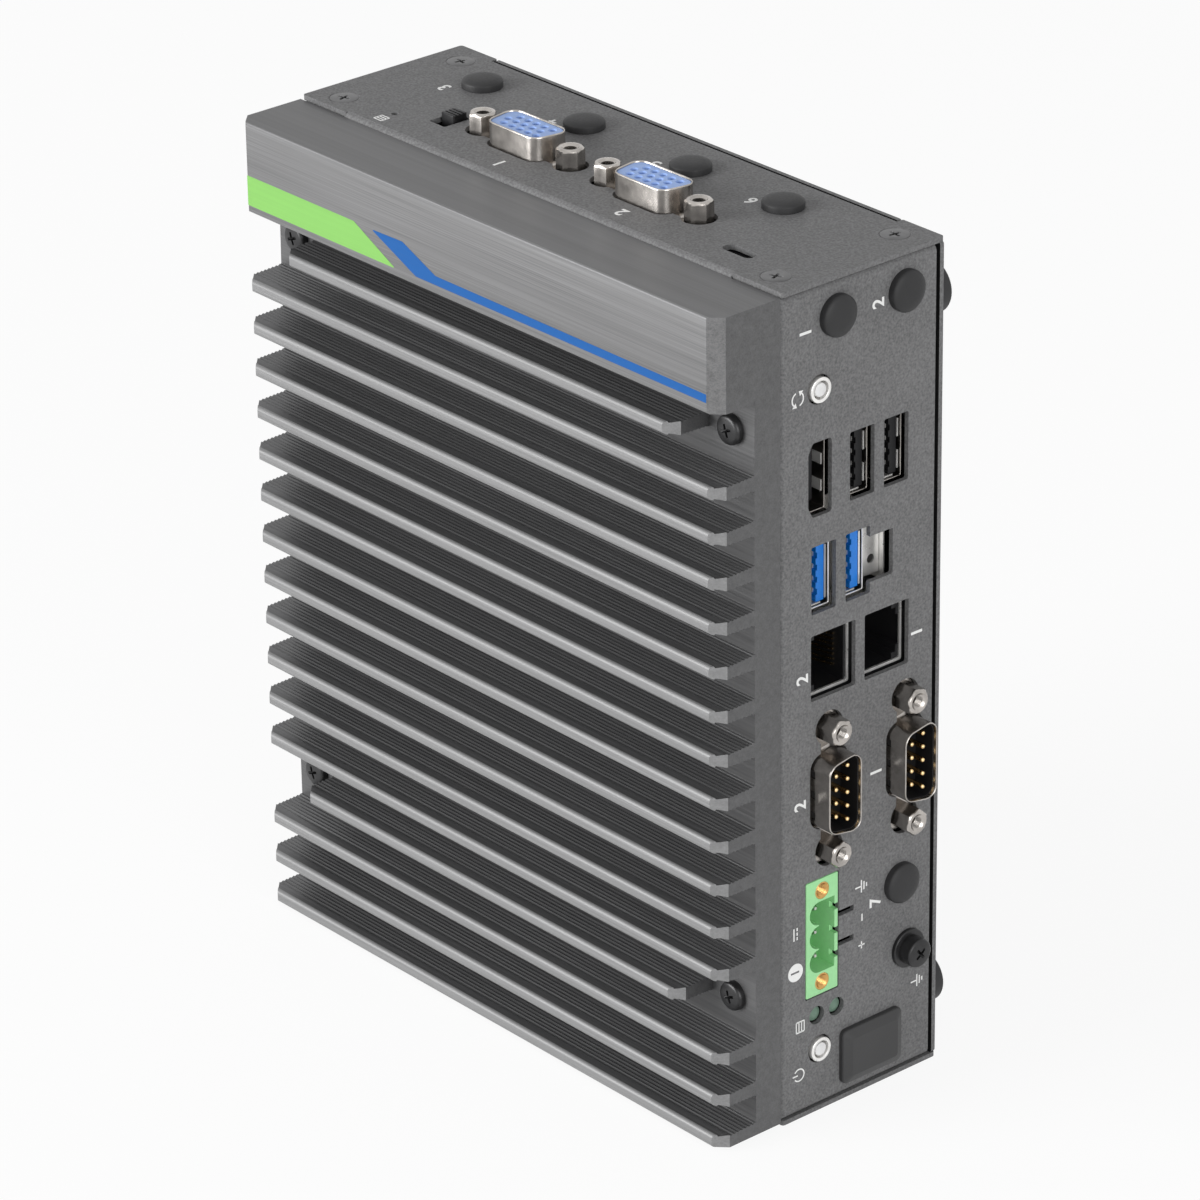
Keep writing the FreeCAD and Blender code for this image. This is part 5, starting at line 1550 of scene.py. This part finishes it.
@dataclass
class SlideSwitch(Fitting):
    """Slide switch under a slot of the top panel.

    Attributes:
        slot: Width and length of the slot.
        knob: Width, length and height of the knob.
    """

    slot: Point = (4.5, 6.3)
    knob: Size = (3.6, 3.4, 1.3)

    def outlines(self) -> list[Outline]:
        """The slot."""
        return [rectangle(self.slot, 0.3)]

    def build(self, bench: Bench) -> None:
        """Makes the body with its channel and the ribbed knob at its far end."""
        body = solid(rectangle(grown(self.slot, 1.5), 0.3), -6.3, -1.3, self.place)
        channel = solid(rectangle((4.3, self.slot[1])), -3.7, 0.0, self.place)
        bench.add("switch_housing", cut(body, [channel]))
        width, length, stand = self.knob
        middle = -self.slot[1] / 2 + 0.35 + length / 2
        lever = solid(rectangle((width, length), 0.3, (0, middle)), -3.55, stand, self.place)
        soften(lever, 0.18, every_edge, 3)
        ribs = [solid(rectangle((width + 1, 0.35), 0, (0, middle + shift)), stand - 0.25, stand + 1, self.place)
                for shift in (-0.85, 0.0, 0.85)]
        bench.add("switch_lever", cut(lever, [merged(ribs)]))


@dataclass
class SlotSocket(Fitting):
    """Small recessed socket behind a slot with round ends."""

    size: Point = (7.6, 2.8)

    def outlines(self) -> list[Outline]:
        """The slot."""
        return [rectangle(self.size, 1.3, (0, 0), 8)]

    def build(self, bench: Bench) -> None:
        """Makes the body with its mouth and tongue."""
        body, mouth = (solid(rectangle(grown(self.size, grow), 1.0, (0, 0), 6), low, high, self.place)
                       for grow, low, high in ((0.3, -7.3, -1.3), (-0.3, -5.8, 0.0)))
        tongue = solid(rectangle((5.2, 0.6), 0.1), -6.5, -2.1, self.place)
        bench.add("slot_socket", cut(body, [mouth]), tongue)


@dataclass
class Pinhole(Fitting):
    """Pinhole over a small lamp."""

    def outlines(self) -> list[Outline]:
        """The hole."""
        return [circle(0.7, (0, 0), 24)]

    def build(self, bench: Bench) -> None:
        """Makes the lamp under it."""
        bench.prism("lamp_lenses", rectangle((1.6, 1.6), 0.1), -6.9, -2.0, self.place)


@dataclass
class Prints:
    """White marks on the panels: plain numbers and general signs, and two coloured stripes on the cap.

    Attributes:
        film: Thickness of the print.
        stroke: Width of a drawn line.
        size: Height of a number's line.
        digits: Numbers on the connector side, with their depth and level.
        top_digits: Numbers on the top panel, with their x and depth.
        green: Corners of the green stripe.
        blue: Corners of the blue stripe.
    """

    film: float = 0.04
    stroke: float = 0.28
    size: float = 3.9
    digits: tuple[tuple[str, float, float], ...] = (
        ("1", 6.2, 158.9), ("2", 23.8, 159.6), ("2", 5.5, 91.2), ("1", 34.0, 91.5), ("1", 24.0, 66.2),
        ("2", 5.0, 65.7), ("7", 24.0, 39.0))
    top_digits: tuple[tuple[str, float, float], ...] = (
        ("3", -51.6, 22.6), ("4", -23.6, 25.4), ("5", 5.6, 25.4), ("6", 31.2, 26.1), ("1", -14.2, 4.8),
        ("2", 19.4, 5.2))
    green: Outline = ((-64.9, 156.4), (-32.9, 156.5), (-21.0, 150.6), (-64.9, 150.4))
    blue: Outline = ((-27.7, 156.4), (-18.7, 156.6), (-9.3, 152.6), (64.7, 152.6), (64.7, 151.0), (-15.0, 150.8))

    def numeral(self, text: str, place: Matrix, size: float) -> Mesh:
        """A plain number as a thin solid, centred on its place."""
        curve = bpy.data.curves.new("number", "FONT")
        curve.body, curve.size = text, size
        curve.align_x = curve.align_y = "CENTER"
        curve.extrude, curve.offset = self.film / 2, size * 0.02
        holder = bpy.data.objects.new("number", curve)
        bpy.context.scene.collection.objects.link(holder)
        bm = evaluated(holder)
        bpy.data.curves.remove(curve)
        bmesh.ops.remove_doubles(bm, verts=bm.verts, dist=1e-4)
        bmesh.ops.transform(bm, matrix=place @ moved(0, 0, self.film / 2), verts=bm.verts)
        return bm

    def signs(self) -> dict[str, list[tuple[Point, Point]]]:
        """The bars of each sign: their size and centre."""
        line, middle = self.stroke, (0.0, 0.0)
        return {
            "minus": [((1.5, line), middle)],
            "plus": [((1.5, line), middle), ((line, 1.5), middle)],
            "direct": [((2.6, line), middle)] + [((0.65, line), (x, -0.8)) for x in (-0.95, 0.0, 0.95)],
            "earth": [((line, 1.5), (0.0, 0.9)), ((2.6, line), (0.0, 0.1)), ((1.7, line), (0.0, -0.55)),
                      ((0.8, line), (0.0, -1.2))],
            "disc": [((line, 2.0), (-1.1, 0.0)), ((line, 2.0), (1.1, 0.0))]
                    + [((2.2, line * 0.8), (0.0, y)) for y in (-1.0, -0.33, 0.33, 1.0)],
            "power": [((line, 1.3), (0.0, 0.95))],
        }

    def arc(self, bench: Bench, radius: float, place: Matrix, start: float, sweep: float) -> None:
        """Adds a part of a circle's line, from a start angle over a sweep in degrees."""
        steps = int(sweep / 9)
        angles = [math.radians(start + sweep * index / steps) for index in range(steps + 1)]
        outer, inner = ([(reach * math.cos(a), reach * math.sin(a)) for a in angles]
                        for reach in (radius + self.stroke / 2, radius - self.stroke / 2))
        bench.prism("panel_marks", outer + inner[::-1], 0.0, self.film, place)

    def build(self, bench: Bench) -> None:
        """Adds every mark."""
        for text, depth, level in self.digits:
            bench.add("panel_marks", self.numeral(text, side_place(depth, level), self.size))
        for text, x, depth in self.top_digits:
            bench.add("panel_marks", self.numeral(text, top_place(x, depth), self.size))
        signs = self.signs()
        power, turning, badge = side_place(4.6, 9.4), side_place(4.2, 146.7), side_place(3.7, 31.5)
        for sign, place in (("minus", side_place(20.5, 37.0)), ("plus", side_place(20.4, 31.2)),
                            ("earth", side_place(20.4, 43.6)), ("earth", side_place(34.9, 18.3)),
                            ("direct", side_place(3.3, 39.5)), ("disc", side_place(4.9, 19.6)),
                            ("disc", top_place(-47.1, 3.5)), ("power", power)):
            for size, centre in signs[sign]:
                bench.prism("panel_marks", rectangle(size, 0.0, centre), 0.0, self.film, place)
        self.arc(bench, 1.25, power, 125.0, 290.0)
        stencil = self.numeral("1", badge @ moved(0, 0, -self.film) @ Matrix.Diagonal((1, 1, 3, 1)), 2.9)
        bench.add("panel_marks", cut(solid(circle(1.85), 0.0, self.film, badge), [stencil]))
        for start in (20.0, 200.0):
            self.arc(bench, 1.35, turning, start, 120.0)
            tip = turning @ turned_about(start + 120.0) @ moved(1.35)
            bench.prism("panel_marks", [(-0.6, -0.05), (0.6, -0.05), (0.0, 0.8)], 0.0, self.film, tip)
        for name, outline in (("stripe_green", self.green), ("stripe_blue", self.blue)):
            bench.prism(name, rounded(outline[::-1], 0.12, 2), -0.02, 0.03, front_place(0, 0, CASE.tip_y))


def fittings() -> tuple[list[Fitting], list[Fitting]]:
    """Everything that is mounted in the connector side, and in the top panel."""
    side = [
        VideoSocket(side_place(9.65, 129.8)),
        DataPair(side_place(19.95, 129.8)),
        DataPair(side_place(10.6, 110.0), "blue", ((-4.6, -17.1), (4.5, -8.4)), False),
        NetworkPair(side_place(13.0, 92.5)),
        SlantedPort(side_place(12.05, 66.95)),
        SlantedPort(side_place(31.1, 66.95)),
        PowerHeader(side_place(10.4, 36.8)),
        PushButton(side_place(9.8, 13.15)),
        PushButton(side_place(9.4, 147.15), "reset"),
        Lamp(side_place(9.1, 20.5)),
        Lamp(side_place(14.1, 20.5)),
        AntennaCap(side_place(13.4, 160.4)),
        AntennaCap(side_place(30.1, 160.4)),
        AntennaCap(side_place(30.1, 41.1)),
        PortPad(side_place(22.4, 9.3)),
        EarthScrew(side_place(32.1, 26.4)),
    ]
    top = [AntennaCap(top_place(x, 28.2)) for x in (-47.1, -17.5, 12.3, 37.4)]
    top += [SlantedPort(top_place(x, 13.6), False) for x in (-17.0, 18.4)]
    top += [SlideSwitch(top_place(-37.65, 12.25)), SlotSocket(top_place(47.7, 8.2)),
            Pinhole(top_place(-47.2, 6.75))]
    return side, top


@dataclass
class Studio:
    """Camera, light and floor.

    Attributes:
        eye: The camera's place in millimetres.
        azimuth: Where it looks, in degrees from +Y towards -X.
        elevation: Its height above the horizon, in degrees.
        roll: Its turn round the line of sight, in degrees.
        lens: Focal length in millimetres.
        ambient: Light from all round.
        floor_white: Share of the floor's look that is plain white.
        floor_gap: How far the floor lies under the object, in millimetres.
        lamps: Each lamp's name, place in metres, power in watts and size in metres.
    """

    eye: Size = (777.8364, -664.8239, 569.1674)
    azimuth: float = 49.35394
    elevation: float = 25.48894
    roll: float = -0.87684
    lens: float = 179.4643
    ambient: float = 0.37
    floor_white: float = 0.9
    floor_gap: float = 0.2
    lamps: tuple[tuple[str, Size, float, float], ...] = (
        ("key", (-0.8, -1.85, 0.62), 51.0, 1.3), ("fill", (1.9, -0.5, 0.6), 17.2, 1.2))

    def hold(self, name: str, data: bpy.types.ID) -> bpy.types.Object:
        """Puts something into the scene."""
        holder = bpy.data.objects.new(name, data)
        bpy.context.scene.collection.objects.link(holder)
        return holder

    def camera(self) -> None:
        """Places the camera that took the photo."""
        data = bpy.data.cameras.new("camera")
        data.lens, data.sensor_width = self.lens, 36.0
        data.clip_start, data.clip_end = 0.05, 20.0
        azimuth, elevation, roll = (math.radians(value) for value in (self.azimuth, self.elevation, self.roll))
        back = Vector((math.sin(azimuth) * math.cos(elevation), -math.cos(azimuth) * math.cos(elevation),
                       math.sin(elevation)))
        level_right = (-back).cross(Vector((0, 0, 1))).normalized()
        right = math.cos(roll) * level_right + math.sin(roll) * level_right.cross(-back)
        holder = self.hold("camera", data)
        holder.matrix_world = framed(right, right.cross(-back), back, Vector(self.eye) * MM)
        bpy.context.scene.camera = holder

    def light(self) -> None:
        """White surroundings for the camera and for reflections, softer light elsewhere, and the lamps."""
        world = bpy.context.scene.world = bpy.data.worlds.new("surroundings")
        tree = Tree(world, "Background")
        tree.feed("Color", WHITE)
        tree.feed("Strength", self.ambient)
        tree.show_white(1.0, "World Output")
        target = Vector((0, 0, CASE.height / 2 * MM))
        for name, place, power, size in self.lamps:
            data = bpy.data.lights.new(name, "AREA")
            data.energy, data.size = power, size
            holder = self.hold(name, data)
            holder.location, holder.rotation_mode = place, "QUATERNION"
            holder.rotation_quaternion = (Vector(place) - target).to_track_quat("Z", "Y")

    def floor(self) -> None:
        """Lays the pale floor."""
        bm = bmesh.new()
        bmesh.ops.create_grid(bm, x_segments=1, y_segments=1, size=6.0)
        bmesh.ops.translate(bm, vec=(0, 0, -self.floor_gap * MM), verts=bm.verts)
        mesh = bpy.data.meshes.new("floor")
        bm.to_mesh(mesh)
        bm.free()
        material = bpy.data.materials.new("floor")
        tree = Tree(material)
        tree.feed("Base Color", (0.95, 0.95, 0.95, 1.0))
        tree.feed("Roughness", 0.9)
        tree.show_white(self.floor_white, "Material Output")
        mesh.materials.append(material)
        holder = self.hold("floor", mesh)

    def build(self) -> None:
        """Sets up everything round the object."""
        self.camera()
        self.light()
        self.floor()
        bpy.context.scene.view_settings.view_transform = "Standard"


def main() -> None:
    """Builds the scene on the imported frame."""
    logging.basicConfig(level=logging.INFO, format="%(message)s")
    bench = Bench()
    side, top = fittings()
    side_cutters, top_cutters = ([cutter for fitting in group for cutter in fitting.openings()]
                                 for group in (side, top))
    Heatsink().build(bench)
    Sheets().build(bench, side_cutters, top_cutters)
    for fitting in side + top:
        fitting.build(bench)
    Prints().build(bench)
    bench.finish()
    Studio().build()
    LOG.info("%d pieces", len(RECIPES))


if __name__ == "__main__":
    main()
